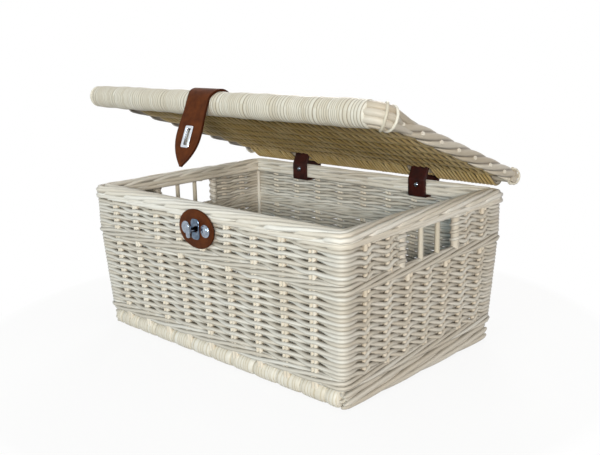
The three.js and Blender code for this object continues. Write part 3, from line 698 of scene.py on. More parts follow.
wale("bottom_wale_rods", z=26.8, seed=9, node="bottom_wale")
wale("middle_wale_rods", z=120.5, seed=10, node="middle_wale")


# Hand openings. Above the middle wale each short wall stops at an upright on both sides of the
# opening, where the weavers turn back. Two bare stakes cross the opening up to the border.
upright_x = 192
upright_y = 45.9
upright_radius = 4.6
opening_stake_y = 14
upper_rows = 8
upper_first = 128.2
upper_pitch = 3.98
turn_radius = 3.7
turn_rod = 2.25
turn_steps = 8


def upper_line(back):
    # The wall's stations from one hand opening round the front, or the back, to the other
    chosen = [s for s in stations if (s[1] > 0) == back and abs(s[1]) > upright_y]
    count = len(chosen)
    cut = max(range(count), key=lambda i: math.dist(chosen[i][:2], chosen[i - 1][:2]))
    return chosen[cut:] + chosen[:cut]


upper_paths = []
for back in (False, True):
    line = upper_line(back)
    for row in range(upper_rows):
        points, radii, _ = weave_row(row, upper_first + upper_pitch * row, line, False)
        if row % 2:
            points.reverse()
            radii.reverse()
        # Each row turns round the upright, climbs to the next one and runs back beside it
        last = points[-1]
        side_x = math.copysign(upright_x, last[0])
        side_y = math.copysign(upright_y, last[1])
        outside = abs(last[0]) > upright_x
        start = 0 if outside else math.pi
        for j in range(turn_steps + 1):
            angle = between(start, math.pi - start, j / turn_steps)
            x = side_x + math.copysign(turn_radius, last[0]) * math.cos(angle)
            y = side_y - math.copysign(turn_radius, last[1]) * math.sin(angle)
            points.append((x, y, last[2] + upper_pitch * j / turn_steps))
        for run in (5, 11):
            points.append((x, y + math.copysign(run, last[1]), last[2] + upper_pitch))
        radii += [turn_rod] * (len(points) - len(radii))
        upper_paths.append((points, radii, False))
upper_weave = rods("upper_weavers", upper_paths, wall_willow, seed=12, crease_shading=weave_crease_shading)
opening_corners = [f"{a}_{b}" for a in ("left", "right") for b in ("front", "back")]
dress(upper_weave, "basket", "willow", *(f"{corner}_upper_weave" for corner in opening_corners))

upright_paths = []
for sx, sy in corners:
    points = [(sx * upright_x, sy * upright_y, z) for z in (124, 142, 162)]
    upright_paths.append(even_rod(points, upright_radius))
uprights = rods("opening_uprights", upright_paths, wall_willow, sides=10, seed=13)
dress(uprights, "basket", "willow", *(f"{corner}_opening_upright" for corner in opening_corners))

wrap_willow = willow("cream willow skein", "#dbd7cb", "#cbc3b1", "#ab9573", "#75634a")
bare_paths = []
for sx, sy in corners:
    points = [(sx * upright_x, sy * opening_stake_y, z) for z in (122, 142, 164)]
    bare_paths.append((points, [2.9, 2.75, 2.6], False))
bare_stakes = rods("opening_stakes", bare_paths, wrap_willow, sides=12, seed=14)
dress(bare_stakes, "basket", "pale_willow", *(f"{corner}_opening_stake" for corner in opening_corners))


# Top border. Each stake is bent over at the rim: it comes out in a knuckle, runs along the outside,
# and lies on top beside the ones before it until it is tucked in at the inside.
# A lighter copy of the wall willow: painted light on the border
lit_border_willow = willow("border willow with painted light", "#f0ede6", "#ddd5c7", "#a08d6f", "#4f4537")
border_x = 188
border_y = 126
border_corner = 9
border_line = plain_loop(border_x, border_y, border_corner, 4.0)
border_count = len(border_line)
border_stakes = 32
border_bow = 4.5
border_taper = 0.18
border_middle = 164
border_paths = []


def track(stops, t):
    # Value at t on a line through stops of (t, value)
    for (t0, a), (t1, b) in zip(stops, stops[1:]):
        if t <= t1:
            f = (t - t0) / (t1 - t0)
            return between(a, b, f * f * (3 - 2 * f))
    return stops[-1][1]


def border_rod(start, spacings, outs, heights, thick):
    # outs and heights are followed over so many stakes. At the corners the outer rods bow out further
    run = round(border_count * spacings / border_stakes)
    lift = dice.uniform(-0.5, 0.5)
    aside = dice.uniform(-0.5, 0.5)
    points = []
    radii = []
    turns = []
    for j in range(run + 1):
        x, y, nx, ny, _ = border_line[(start + j) % border_count]
        out = track(outs, j / run) + aside
        out += border_bow * abs(2 * nx * ny) ** 2 * max(0, out / 8)
        height = track(heights, j / run) + lift
        points.append((x + nx * out, y + ny * out, height))
        radii.append(thick * (1 - border_taper * j / run))
        turns.append(-math.atan2(height - border_middle, out))
    border_paths.append((points, radii, False, turns))


side_outs = ((0, 1.5), (0.12, 7.2), (0.8, 7.4), (1, 3))
side_heights = ((0, 158.5), (0.14, 161.0), (0.85, 164.8), (1, 165.5))
top_outs = ((0, 5.0), (0.05, 7.8), (0.12, 7.4), (0.8, -7.0), (1, -7.6))
top_heights = ((0, 163.5), (0.05, 167.2), (0.3, 171.2), (0.5, 172.8), (0.72, 171.6), (1, 163))
for k in range(border_stakes):
    start = round(border_count * k / border_stakes)
    border_rod(start, 3.3, side_outs, side_heights, thick=2.6)
    border_rod(start, 6.1, top_outs, top_heights, thick=2.75)
for out, z, thick in ((0, 165, 4.2), (-7.0, 161.6, 2.9), (-7.2, 166.6, 2.9), (-1, 161, 3)):
    core = [(x + nx * out, y + ny * out, z) for x, y, nx, ny, _ in border_line]
    border_paths.append(even_rod(core, thick, closed=True))
border = rods("border_rods", border_paths, lit_border_willow, sides=12, seed=15, crease_shading=0.32)
dress(border, "basket", "willow", "front_border", "back_border", "left_border", "right_border")


# Leather loop hinges. Each is a band of leather pulled round the lid's back roll and the border
# below it, and riveted to itself on the inside of the basket. The leather is dark red-brown, taken
# near to black by painted shade.
def leather(name, light, dark, pore, roughness, shine):
    # Dyed cowhide: fine pores, cloudy colour and gloss, darker where the cut edge was burnished.
    # The pores are drawn coarser than real ones, so that they show
    cloud = 11.1
    material, tree, shader = blank_material(name)
    shader.inputs["Specular IOR Level"].default_value = shine
    place = add(tree, "ShaderNodeTexCoord").outputs["Object"]
    cloudiness = {"Vector": place, "Scale": 1000 / cloud, "Detail": 5.0, "Roughness": 0.6}
    clouds = add(tree, "ShaderNodeTexNoise", cloudiness).outputs["Fac"]
    pores = add(tree, "ShaderNodeTexVoronoi", {"Vector": place, "Scale": 1000 / pore}).outputs["Distance"]
    edge = add(tree, "ShaderNodeAttribute", attribute_name="edge").outputs["Fac"]
    spread = {"Value": clouds, "From Min": 0.3, "From Max": 0.7}
    cloudy = add(tree, "ShaderNodeMapRange", spread).outputs["Result"]
    worn = add(tree, "ShaderNodeMath", {0: cloudy, 1: edge}, operation="MAXIMUM").outputs[0]
    dyed = {0: worn, 6: linear(light), 7: linear(dark)}
    colour = add(tree, "ShaderNodeMix", dyed, data_type="RGBA").outputs[2]
    tree.links.new(colour, shader.inputs["Base Color"])
    waxed = {"Value": clouds, "To Min": roughness - 0.08, "To Max": roughness + 0.12}
    gloss = add(tree, "ShaderNodeMapRange", waxed).outputs["Result"]
    tree.links.new(gloss, shader.inputs["Roughness"])
    bump = add(tree, "ShaderNodeBump", {"Strength": 0.2, "Distance": 0.0003, "Height": pores})
    tree.links.new(bump.outputs[0], shader.inputs["Normal"])
    return material


def plated_steel(name, bright, painted_dark_reflection):
    # Chrome over pressed steel: mirror bright, with a trace of haze that dulls its gloss in patches.
    # Its colour is blued and darkened, most in those patches: painted dark reflections
    haze_and_reflection_patch = 4.55
    material, tree, shader = blank_material(name)
    shader.inputs["Metallic"].default_value = 1.0
    place = add(tree, "ShaderNodeTexCoord").outputs["Object"]
    patches = {"Vector": place, "Scale": 1000 / haze_and_reflection_patch, "Detail": 4.0}
    haze_and_reflection = add(tree, "ShaderNodeTexNoise", patches).outputs["Fac"]
    # Painted dark reflections: the hazy patches darken and blue the metal's colour
    plating = {0: haze_and_reflection, 6: linear(bright), 7: linear(painted_dark_reflection)}
    colour = add(tree, "ShaderNodeMix", plating, data_type="RGBA").outputs[2]
    tree.links.new(colour, shader.inputs["Base Color"])
    gloss = add(tree, "ShaderNodeMapRange", {"Value": haze_and_reflection, "To Min": 0.06, "To Max": 0.22}).outputs["Result"]
    tree.links.new(gloss, shader.inputs["Roughness"])
    return material


def turned(name, profile, centre, axis, material):
    # Turned piece: profile holds (radius, height) from the middle of the back to the middle of the front
    segments = 40
    axis = Vector(axis).normalized()
    side = axis.orthogonal().normalized()
    other = axis.cross(side)
    rings = []
    for radius, height in profile:
        middle = Vector(centre) + axis * height
        ring = []
        for k in range(segments):
            angle = 2 * math.pi * k / segments
            ring.append(middle + (side * math.cos(angle) + other * math.sin(angle)) * radius)
        rings.append(ring)
    return surface(name, rings, material)


# Dark red-brown leather, taken near to black by painted shade
hinge_leather = leather("hinge leather with painted shade", "#42170f", "#1d0c0a", pore=0.714, roughness=0.4, shine=0.2)
# Blued grey chrome, with painted dark reflections in its hazy patches
chrome = plated_steel("chrome plate", "#bcc6d3", "#626d7c")
hinge_x = 94.3
hinge_y = 133
hinge_z = 188.9
hinge_width = 24.5
hinge_thickness = 2.2
hinge_steps = 96
hinge_rivet = (112.7, 170)
hinge_pegs = [(hinge_y, hinge_z, 10.4)]
for y, z in ((115.9, 175.6), (115.9, 158.4), (136.1, 158.4), (136.1, 175.6)):
    hinge_pegs.append((y, z, 0.7))


def belt_point(angle, offset):
    # The band is pulled tight round its pegs, (y, z, radius): the roll and the border's four edges
    y = math.cos(angle)
    z = math.sin(angle)
    peg = max(hinge_pegs, key=lambda p: p[0] * y + p[1] * z + p[2])
    return peg[0] + (peg[2] + offset) * y, peg[1] + (peg[2] + offset) * z


def band_section(width, thickness, soft):
    # Across the band: place across the width and depth in the leather, with softened edges
    half = width / 2
    steps = [between(-1, 1, i / 6) for i in range(7)]
    outer = [(half * s, thickness) for s in steps]
    outer[0] = (-half + soft, thickness)
    outer[-1] = (half - soft, thickness)
    inner = [(x, 0) for x, _ in reversed(outer)]
    return [*outer, (half, thickness - soft), (half, soft), *inner, (-half, soft), (-half, thickness - soft)]


small_dome = ((1.6, -1.9), (1.6, 0), (3.1, 0), (3.05, 0.4), (2.6, 1.1), (1.7, 1.6), (0.7, 1.8), (0.2, 1.8))
section = band_section(hinge_width, hinge_thickness, soft=0.5)
for side, sign in left_right:
    rings = []
    for i in range(hinge_steps):
        angle = 2 * math.pi * i / hinge_steps
        rings.append([(sign * hinge_x + x, *belt_point(angle, depth)) for x, depth in section])
    band = surface(f"{side}_hinge_band", rings, hinge_leather, closed=True)
    dress(band, "basket", "hinge_leather", f"{side}_hinge_strap")
    rivet = turned(f"{side}_hinge_stud", small_dome, (sign * hinge_x, *hinge_rivet), (0, -1, 0), chrome)
    dress(rivet, "basket", "chrome", f"{side}_hinge_rivet")


# Lid. A woven panel on cross sticks, hung by its back roll. Flat skein is wound tightly round the
# bundle of sticks at the front, rods are looped round a thinner one at the back, and skein ties both.
# The lid's willow is browner on its underside, partly its own tone and partly painted shade
lid_willow = willow(
    "willow with a browner underside, partly painted shade", "#e3dfd4", "#cfc7b6", "#96804f", "#4d3e22", ("#e8d09a", "#d4b676")
)
edge_willow = willow("grey willow", "#d3ccbf", "#b9ad9a", "#8c795c", "#54473a")
lid_tilt = math.radians(19.5)
lid_reach = 262
lid_back_x = 203
lid_front_left = 197
lid_front_right = 218


def on_lid(x, v, w):
    # v runs from the hinge axis to the front roll, w up from the middle of the panel
    return (
        x,
        hinge_y - v * math.cos(lid_tilt) + w * math.sin(lid_tilt),
        hinge_z + v * math.sin(lid_tilt) + w * math.cos(lid_tilt),
    )


def lid_edge_x(v, sign):
    return between(lid_back_x, lid_front_left if sign < 0 else lid_front_right, v / lid_reach)


# Front roll. Skein is wound closely over the front bundle. It closes over the bundle's left end and
# stops before the right one, where the rods are bare.
front_roll_radius = 12.5
front_skein_width = 3.1
front_arch = 0.5
front_uneven = 0.25
front_left_end = -205.4
front_right_end = 212
front_left_closing = 194
front_left_closing_run = 11.5
front_right_closing = 208
front_right_closing_run = 4


def front_spot(x, a, b):
    return on_lid(x, lid_reach + a, b)


def front_radius(x):
    # Full as far as the left end, which the winding closes over, and drawn in on the bare rods
    rest = max(0, (-x - front_left_closing) / front_left_closing_run)
    drawn = max(0, (x - front_right_closing) / front_right_closing_run)
    return front_roll_radius * math.sqrt(max(0, 1 - rest ** 2.4)) - 1.6 * drawn ** 2


def front_turn(x, angle):
    turns = x / front_skein_width - angle / (2 * math.pi) + unsteady(x, 0.6, 0.2)
    return turns, front_arch, front_uneven * math.sin(x / 17) + front_uneven * math.sin(x / 5.3 + 1)


front_wraps = wound(
    "lid_front_wraps",
    front_spot,
    front_left_end,
    front_right_end,
    front_radius,
    front_turn,
    step=0.36,
    material=wrap_willow,
)
dress(front_wraps, "lid", "pale_willow", "lid_front_roll")

# Back roll. Thin rods are looped round its sticks and run on into the panel on both faces. Under the
# hinges the loops are tight and end there, so that the leather can lie close.
back_loops = 78
back_loop_x = 187
back_loop_radius = 10.7
under_hinge_radius = 8.0
back_loop_steps = 12
hinge_clearance = 16
# Turns the rod sections so that the painted crease shade falls on the flanks beside the next rods
crease_shade_aside = math.pi / 2


def by_hinge(x):
    return abs(abs(x) - hinge_x) < hinge_clearance


back_paths = []
for i in range(back_loops):
    x = between(-back_loop_x, back_loop_x, i / (back_loops - 1))
    thick = dice.uniform(1.8, 2.1)
    reach = dice.uniform(22, 26)
    leg = [] if by_hinge(x) else [(reach, 2.0), (reach - 6, 4.6), (12, 7.0)]
    radius = under_hinge_radius if by_hinge(x) else back_loop_radius
    arc = [math.radians(between(70, 290, k / back_loop_steps)) for k in range(back_loop_steps + 1)]
    loop = leg + [(radius * math.cos(a), radius * math.sin(a)) for a in arc]
    loop += [(v, -w) for v, w in reversed(leg)]
    points = [on_lid(between(x - 1, x + 1, k / len(loop)), v, w) for k, (v, w) in enumerate(loop)]
    back_paths.append(even_rod(points, thick, turn=crease_shade_aside))
back_wraps = rods("lid_back_wraps", back_paths, lid_willow, seed=21, crease_shading=0.95)
dress(back_wraps, "lid", "pale_willow", "lid_back_roll")

# Bundles inside the lid's rolls. Five peeled sticks run through the back roll, held by the loops and
# by the ties at its ends.
roll_sticks = 5
roll_stick_x = 211
roll_stick_radius = 3.2
roll_stick_out = 4.2
roll_stick_bow = 0.6
roll_stick_steps = 14
bundle_paths = []
for k in range(roll_sticks):
    angle = 2 * math.pi * (k + 0.3) / roll_sticks
    reach = roll_stick_x + dice.uniform(-2.5, 0.8)
    points = []
    for i in range(roll_stick_steps + 1):
        x = between(-reach, reach, i / roll_stick_steps)
        bow = roll_stick_bow * math.sin(3.1 * x / 100 + k)
        points.append(on_lid(x, (roll_stick_out + bow) * math.cos(angle), roll_stick_out * math.sin(angle)))
    bundle_paths.append(even_rod(points, roll_stick_radius))
# At its right end the front bundle is bare: its rods bend round the corner into the side edge. Each
# has its place round the bundle in degrees, its radius, and how far back along the edge it ends
corner_bend = 9.5
corner_x = 211.0
corner_v = lid_reach - corner_bend
corner_bend_steps = 9
along_edge_steps = 5
bundle_out = 7.8
bundle = ((95, 3.9, 214), (48, 4.1, 198), (0, 3.8, 226), (-46, 4.1, 206), (-95, 3.8, 220), (180, 4.2, 232))
for turn, thick, last in bundle:
    out = bundle_out * math.cos(math.radians(turn))
    up = bundle_out * math.sin(math.radians(turn))
    points = [on_lid(x, lid_reach + out, up) for x in (170, 190, 203)]
    for i in range(corner_bend_steps + 1):
        angle = math.pi / 2 * i / corner_bend_steps
        round_x = corner_x + (corner_bend + out) * math.sin(angle)
        points.append(on_lid(round_x, corner_v + (corner_bend + out) * math.cos(angle), up))
    radii = [thick] * len(points)
    for i in range(1, along_edge_steps + 1):
        f = i / along_edge_steps
        v = between(corner_v, last, f)
        x = between(corner_x + corner_bend + out, lid_edge_x(v, 1) + 0.5 * out, f)
        points.append(on_lid(x, v, up * (1 - 0.5 * f)))
        radii.append(thick * (1 - 0.6 * f))
    bundle_paths.append((points, radii, False))
bundles = rods("lid_roll_sticks", bundle_paths, edge_willow, sides=10, seed=22)
dress(bundles, "lid", "willow")

# Lid sticks. Seven thick cross sticks carry the weave. They end in the side edges, which are laid
# over them.
stick_first = 27
stick_pitch = 34
stick_short = 4
stick_radius = 3.0
stick_vs = [stick_first + stick_pitch * i for i in range(7)]
stick_paths = []
for v in stick_vs:
    ends = (stick_short - lid_edge_x(v, -1), 0, lid_edge_x(v, 1) - stick_short)
    stick_paths.append(even_rod([on_lid(x, v, 0) for x in ends], stick_radius))
lid_sticks = rods("lid_sticks", stick_paths, lid_willow, seed=23)
dress(lid_sticks, "lid", "willow")

# Lid panel. Weavers run from the back roll to the front one, over and under the cross sticks, with a
# notch at each hinge.
panel_rods = 94
panel_back = 9.0
panel_notch = 23.0
panel_front = 251
panel_inset = 8
panel_swing = 2.9
panel_wander = 0.25
panel_steps = 60
panel_filler = 2.1


def panel_x(u, v):
    return u * (lid_edge_x(v, u) - panel_inset)


def panel_start(u):
    # Beside a hinge the weave starts further forward, clear of the leather
    return panel_notch if by_hinge(panel_x(u, 15)) else panel_back


panel_paths = []
for i in range(panel_rods):
    u = between(-1, 1, i / (panel_rods - 1))
    over = 1 if i % 2 else -1
    wander = drift((1, 2, 3))
    thick = dice.uniform(2.3, 2.5)
    points = []
    for j in range(panel_steps + 1):
        v = between(panel_start(u), panel_front, j / panel_steps)
        swing = math.cos(math.pi * (v - stick_first) / stick_pitch)
        x = panel_x(u, v) + panel_wander * wander(v / lid_reach)
        points.append(on_lid(x, v, over * panel_swing * swing))
    panel_paths.append(even_rod(points, thick, turn=crease_shade_aside))
# A straight rod lies between every two weavers, inside the panel, and closes the weave
for i in range(panel_rods - 1):
    u = between(-1, 1, (i + 0.5) / (panel_rods - 1))
    points = [on_lid(panel_x(u, v), v, 0) for v in (panel_start(u), 90, 170, panel_front)]
    panel_paths.append(even_rod(points, panel_filler, turn=crease_shade_aside))
lid_weave = rods("lid_weavers", panel_paths, lid_willow, seed=24, crease_shading=0.9)
dress(lid_weave, "lid", "willow", "lid_panel")

# Side edges of the lid. Rods are bent along the side and laid over each other like a rope, each from
# below the edge, round its outside and onto its top.
side_rods = 10
side_rod_length = 118
side_first = 326
side_last = 7
side_core = 4.0
side_swing = 3.9
side_rise = 4.6
side_tuck = 6
side_steps = 28
for side, sign in left_right:
    edge_paths = []
    foremost = 246 if sign < 0 else 250
    for i in range(side_rods):
        start = side_first - stick_pitch * i
        begin = max(0, (start - foremost) / side_rod_length)
        finish = min(1, (start - side_last) / side_rod_length)
        points = []
        radii = []
        turns = []
        for j in range(side_steps + 1):
            f = between(begin, finish, j / side_steps)
            v = start - side_rod_length * f
            angle = between(-0.36 * math.pi, 0.78 * math.pi, f)
            inwards = side_tuck * max(0, 1 - f / 0.12)
            x = sign * (lid_edge_x(v, sign) + side_swing * math.cos(angle) - inwards)
            points.append(on_lid(x, v, side_rise * math.sin(angle)))
            full = 1.5 + 2.8 * math.sin(math.pi * min(1, 0.15 + 0.85 * f)) ** 0.8
            radii.append(full * min(1, 0.35 + 8 * (f - begin)))
            turns.append(-sign * angle)
        edge_paths.append((points, radii, False, turns))
    core = [on_lid(sign * (lid_edge_x(v, sign) - 1), v, 0) for v in (8, 60, 130, 200, foremost)]
    edge_paths.append(even_rod(core, side_core))
    lid_edge = rods(f"lid_{side}_edge_rods", edge_paths, edge_willow, sides=12, seed=25, crease_shading=0.8)
    dress(lid_edge, "lid", "willow", f"lid_{side}_edge")

# Stick ends. The cut ends of the cross sticks stand out between the rods of both side edges, pared
# down at the tip.
end_paths = []
for _, sign in left_right:
    for v in stick_vs:
        edge_x = lid_edge_x(v, sign)
        points = [on_lid(sign * (edge_x + out), v + 0.3 * out, -0.6) for out in (-6, 0, 7.2, 9.0)]
        end_paths.append((points, [2.8, 2.8, 2.6, 1.7], False))
stick_ends = rods("lid_stick_ends", end_paths, wall_willow, sides=10, seed=27)
dress(stick_ends, "lid", "willow")


# Ties. Thin skein is tied round the ends of both rolls, and at the front right it crosses over the
# bare rods of the corner.
def tie(x, v, reach, rise, lean, thick):
    # A ring about (x, v): how far it reaches along v, rises, and leans along x, and its radius
    steps = 28
    points = []
    for k in range(steps):
        angle = 2 * math.pi * k / steps
        points.append(on_lid(x + lean * math.cos(angle), v + reach * math.cos(angle), rise * math.sin(angle)))
    return even_rod(points, thick, closed=True)


tie_sets = {
    "front_left": (
        tie(-203.2, lid_reach, 9.6, 9.6, 0.6, 1.3),
        tie(-201.2, lid_reach, 10.6, 10.6, -0.6, 1.3),
    ),
    "front_right": (
        tie(219.5, 255, 9.0, 11.8, 9.4, 1.5),
        tie(221.5, 249, 4.0, 11.0, 11.0, 1.4),
    ),
}
for side, sign in left_right:
    tie_sets[f"back_{side}"] = (
        tie(sign * 205.5, 1, 8.5, 8.5, 1.5, 1.3),
        tie(sign * 207.5, 0, 8.2, 8.2, -2.5, 1.2),
    )
for end, ties in tie_sets.items():
    binding = rods(f"lid_{end}_tie", ties, wrap_willow, seed=26)
    dress(binding, "lid", "pale_willow", f"lid_{end}_binding")


# Strap. One length of red-brown leather: riveted on top of the lid, over the front roll, and down in a
# leaf with a pointed tip. A chrome eyelet frames the slot that goes over the turn lock.
strap_leather = leather("red brown leather", "#5e2e0c", "#3d1a06", pore=0.833, roughness=0.5, shine=0.1)
strap_thickness = 2.4
strap_neck = 17.5
strap_waist = 16.4
strap_leaf = 18.4
# Half width of the tail by the number of its row, wider on the front roll
strap_shoulder = ((0, strap_neck), (14, 20.2), (19, 19.4), (25, strap_waist))
tail_start = -197.1
tail_end = -234.0
tail_w = 6.1
tail_step = 3.08
tail_corner = 6
strap_bend_radius = 14.1
tail_steps = 12
bend_steps = 12
burnished = 1.6
edge_round = 0.6
bend = (-276.1, 0.0)
tongue_lean = math.radians(3)
slot_drop = 38.9
slot_half = 4.4
slot_first = 29
slot_last = 49
leaf_widest = 36
leaf_pull = 54.7
leaf_tip = 70
tip_half = 1.6


def strap_line():
    # (y, w) of the leather's middle in the lid's own plane, with the distance past the bend
    rows = [((between(tail_start, tail_end, i / tail_steps), tail_w), None) for i in range(tail_steps + 1)]
    for i in range(bend_steps + 1):
        angle = math.radians(between(74, 178, i / bend_steps))
        y = -lid_reach + strap_bend_radius * math.cos(angle)
        rows.append(((y, strap_bend_radius * math.sin(angle)), None))
    upper_drops = (1.5, 4, 8, 12, 16, 20, 24, 26.5, 29.1, 33, 36, 39, 42, 45, 48.7)
    lower_drops = (51, 54, 57, 60, 62.5, 65, 67, 68.6, 69.6)
    for d in upper_drops + lower_drops:
        y = bend[0] - d * math.sin(tongue_lean)
        w = bend[1] - d * math.cos(tongue_lean)
        rows.append(((y, w), d))
    return rows


def leaf_half(drop):
    # Half the leaf's width: below its widest place a curve closes it in to the tip
    if drop < leaf_widest:
        return track(((0, strap_waist), (8, strap_waist), (leaf_widest, strap_leaf)), drop)
    low = 0.0
    high = 1.0
    for _ in range(40):
        t = (low + high) / 2
        depth = leaf_widest * (1 - t) ** 2 + 2 * leaf_pull * t * (1 - t) + leaf_tip * t * t
        low, high = (t, high) if depth < drop else (low, t)
    return max(strap_leaf * (1 - t * t), tip_half)


def strap_mesh():
    # The leather's middle as a grid of rows with the slot left out, thickened, its edges rounded
    points = []
    edges = []
    grid = []
    for i, ((y, w), drop) in enumerate(strap_line()):
        half = track(strap_shoulder, i) if drop is None else leaf_half(drop)
        end = i * tail_step
        if drop is None and end < tail_corner:
            half += math.sqrt(tail_corner ** 2 - (tail_corner - end) ** 2) - tail_corner
        gap = min(slot_half, 0.3 * half)
        columns = [half, 0.965 * half, 0.9 * half, 0.72 * half, between(gap, half, 0.3), gap]
        columns = [-c for c in columns] + list(reversed(columns))
        row = []
        for x in columns:
            row.append(len(points))
            points.append([c / 1000 for c in on_lid(x, -y, w)])
            near = half - abs(x)
            if drop is not None:
                near = min(near, leaf_tip - drop)
            edges.append(max(0.0, 1 - near / burnished))
        grid.append((row, drop))
    faces = []
    for (row, drop), (after, below) in zip(grid, grid[1:]):
        middle = len(row) // 2 - 1
        for k in range(len(row) - 1):
            hole = k == middle and drop is not None and slot_first <= drop and below <= slot_last
            if not hole:
                faces.append((row[k], row[k + 1], after[k + 1], after[k]))
    mesh = bpy.data.meshes.new("strap")
    mesh.from_pydata(points, [], faces)
    store_values(mesh, "edge", edges)
    mesh.materials.append(strap_leather)
    carrier = placed("strap_carrier", mesh)
    solid = carrier.modifiers.new("thickness", "SOLIDIFY")
    solid.thickness = strap_thickness / 1000
    solid.offset = 0
    rounded = carrier.modifiers.new("rounded edges", "BEVEL")
    rounded.width = edge_round / 1000
    rounded.segments = 2
    rounded.limit_method = "ANGLE"
    rounded.angle_limit = math.radians(50)
    graph = bpy.context.evaluated_depsgraph_get()
    solid_mesh = bpy.data.meshes.new_from_object(
        carrier.evaluated_get(graph), preserve_all_data_layers=True, depsgraph=graph
    )
    bpy.data.objects.remove(carrier)
    solid_mesh.polygons.foreach_set("use_smooth", [True] * len(solid_mesh.polygons))
    return solid_mesh


strap = placed("strap_leather", strap_mesh())
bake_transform(strap)
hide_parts("strap_tail", "strap_tongue")

# Strap rivets. Two chrome rivets, one behind the other, go down through the strap's tail and hold it to
# the lid. Their heads are wide domes.
lid_up = Vector((0, math.sin(lid_tilt), math.cos(lid_tilt)))
strap_top = 7.6
wide_dome = ((1.6, -2.3), (1.6, 0), (5, 0), (4.95, 0.5), (4.2, 1.5), (2.8, 2.25), (1.2, 2.5), (0.2, 2.5))
for name, v in (("strap_back", 207.1), ("strap_front", 227.1)):
    rivet = turned(f"{name}_stud", wide_dome, on_lid(0, v, strap_top), lid_up, chrome)
    dress(rivet, "lid", "chrome", f"{name}_rivet")


# Slot eyelet and washer. A pressed chrome frame goes through the tongue from the front, round the slot,
# and is closed over a flat washer behind.
def rounded_rect(width, height, radius):
    # Outline of a plate with rounded corners
    steps = 5
    outline = []
    for sx, sy, first in ((1, 1, 0), (-1, 1, 1), (-1, -1, 2), (1, -1, 3)):
        for k in range(steps + 1):
            angle = math.pi / 2 * (first + k / steps)
            x = sx * (width / 2 - radius) + radius * math.cos(angle)
            outline.append((x, sy * (height / 2 - radius) + radius * math.sin(angle)))
    return outline


# A brighter copy of the chrome: painted bright reflection on the eyelet
eyelet_chrome = plated_steel("chrome plate with painted bright reflection", "#f1f4f8", "#c2cad4")
tongue_turn = Matrix.Rotation(-lid_tilt - tongue_lean, 3, "X")
bend_place = Vector(on_lid(0, -bend[0], bend[1]))


def on_tongue(x, y, z):
    # A place from the middle of the slot, with y through the leather and z up along the tongue
    return bend_place + tongue_turn @ Vector((x, y, z - slot_drop))


def slotted_plate(name, sections):
    # sections holds (width, height, corner radius, depth) from the back of the outside round to the slot
    rings = []
    for width, height, radius, depth in sections:
        rings.append([on_tongue(x, depth, z) for x, z in rounded_rect(width, height, radius)])
    return surface(name, rings, eyelet_chrome, closed=True)


eyelet_sections = (
    (12.0, 22.8, 1.9, -1.5),
    (12.0, 22.8, 1.9, -1.9),
    (11.3, 22.1, 1.7, -2.4),
    (9.6, 20.4, 1.5, -2.6),
    (7.2, 18.0, 1.2, -2.4),
    (6.2, 17.0, 1.0, -1.8),
    (6.2, 17.0, 1.0, 2.5),
    (8.2, 19.0, 1.0, 2.5),
    (8.2, 19.0, 1.0, -1.5),
)
eyelet = slotted_plate("eyelet_frame", eyelet_sections)
dress(eyelet, "tongue", "chrome", "slot_eyelet")
washer_sections = (
    (12.0, 22.8, 1.9, 1.5),
    (12.0, 22.8, 1.9, 2.2),
    (11.4, 22.2, 1.8, 2.5),
    (9.2, 20.0, 1.2, 2.5),
    (8.8, 19.6, 1.1, 2.2),
    (8.8, 19.6, 1.1, 1.5),
)
washer = slotted_plate("eyelet_washer", washer_sections)
dress(washer, "tongue", "chrome", "slot_washer")


# Lock patch. An oval of red-brown leather on the front wall, under the border, which carries the turn
# lock. It is cut out flat, and its lower edge leans back onto the weave.
lock_z = 150
lock_face = -139.3
patch_face = 139.0
patch_half_width = 28
patch_half_height = 21
sag_from = 11
sag_run = 10
sag_depth = 1.3
burnished_from = 0.93
patch_steps = 64


def patch_sag(z):
    # The lower edge of the patch leans back onto the weave
    low = max(0.0, (lock_z - sag_from - z) / sag_run)
    return sag_depth * low * low / (1 + low)


patch_profile = (
    (0.06, 2.2),
    (0.6, 2.2),
    (0.95, 2.1),
    (0.992, 1.6),
    (1.0, 1.0),
    (0.988, 0.45),
    (0.955, 0.1),
    (0.9, 0.0),
    (0.6, 0.0),
    (0.3, 0.0),
    (0.06, 0.0),
)
rings = []
patch_edges = []
for size, depth in patch_profile:
    ring = []
    for k in range(patch_steps):
        angle = 2 * math.pi * k / patch_steps
        x = patch_half_width * size * math.cos(angle)
        z = lock_z + patch_half_height * size * math.sin(angle)
        ring.append((x, -(patch_face - depth - patch_sag(z)), z))
        patch_edges.append(max(0.0, (size - burnished_from) / (1 - burnished_from)))
    rings.append(ring)
patch = surface("lock_leather", rings, strap_leather)
store_values(patch.data, "edge", patch_edges)
dress(patch, "basket", "leather", "lock_patch")

# Lock rivets. Two chrome rivets, left and right of the knob, hold the patch to the wall. Their heads are
# domes with a raised rim.
lock_rivet_x = 15.5
rimmed_dome = [(1.6, -1.9), (1.6, 0), (6.8, 0), (6.8, 0.45), (6.4, 0.8), (5.6, 0.85), (5.1, 0.75)]
rimmed_dome += [(4.9, 1.1), (4.2, 1.7), (2.9, 2.15), (1.4, 2.3), (0.2, 2.3)]
for side, sign in left_right:
    seat = (sign * lock_rivet_x, lock_face, lock_z)
    rivet = turned(f"lock_{side}_stud", rimmed_dome, seat, (0, -1, 0), chrome)
    dress(rivet, "basket", "chrome", f"lock_{side}_rivet")


# Lock plate. A pressed chrome plate with a round hole lies on the middle of the patch, and the knob
# turns in it.
def front_rings(sections):
    # sections holds (width, height, corner radius, y) from the wall outwards
    rings = []
    for width, height, radius, y in sections:
        rings.append([(x, y, lock_z + z) for x, z in rounded_rect(width, height, radius)])
    return rings


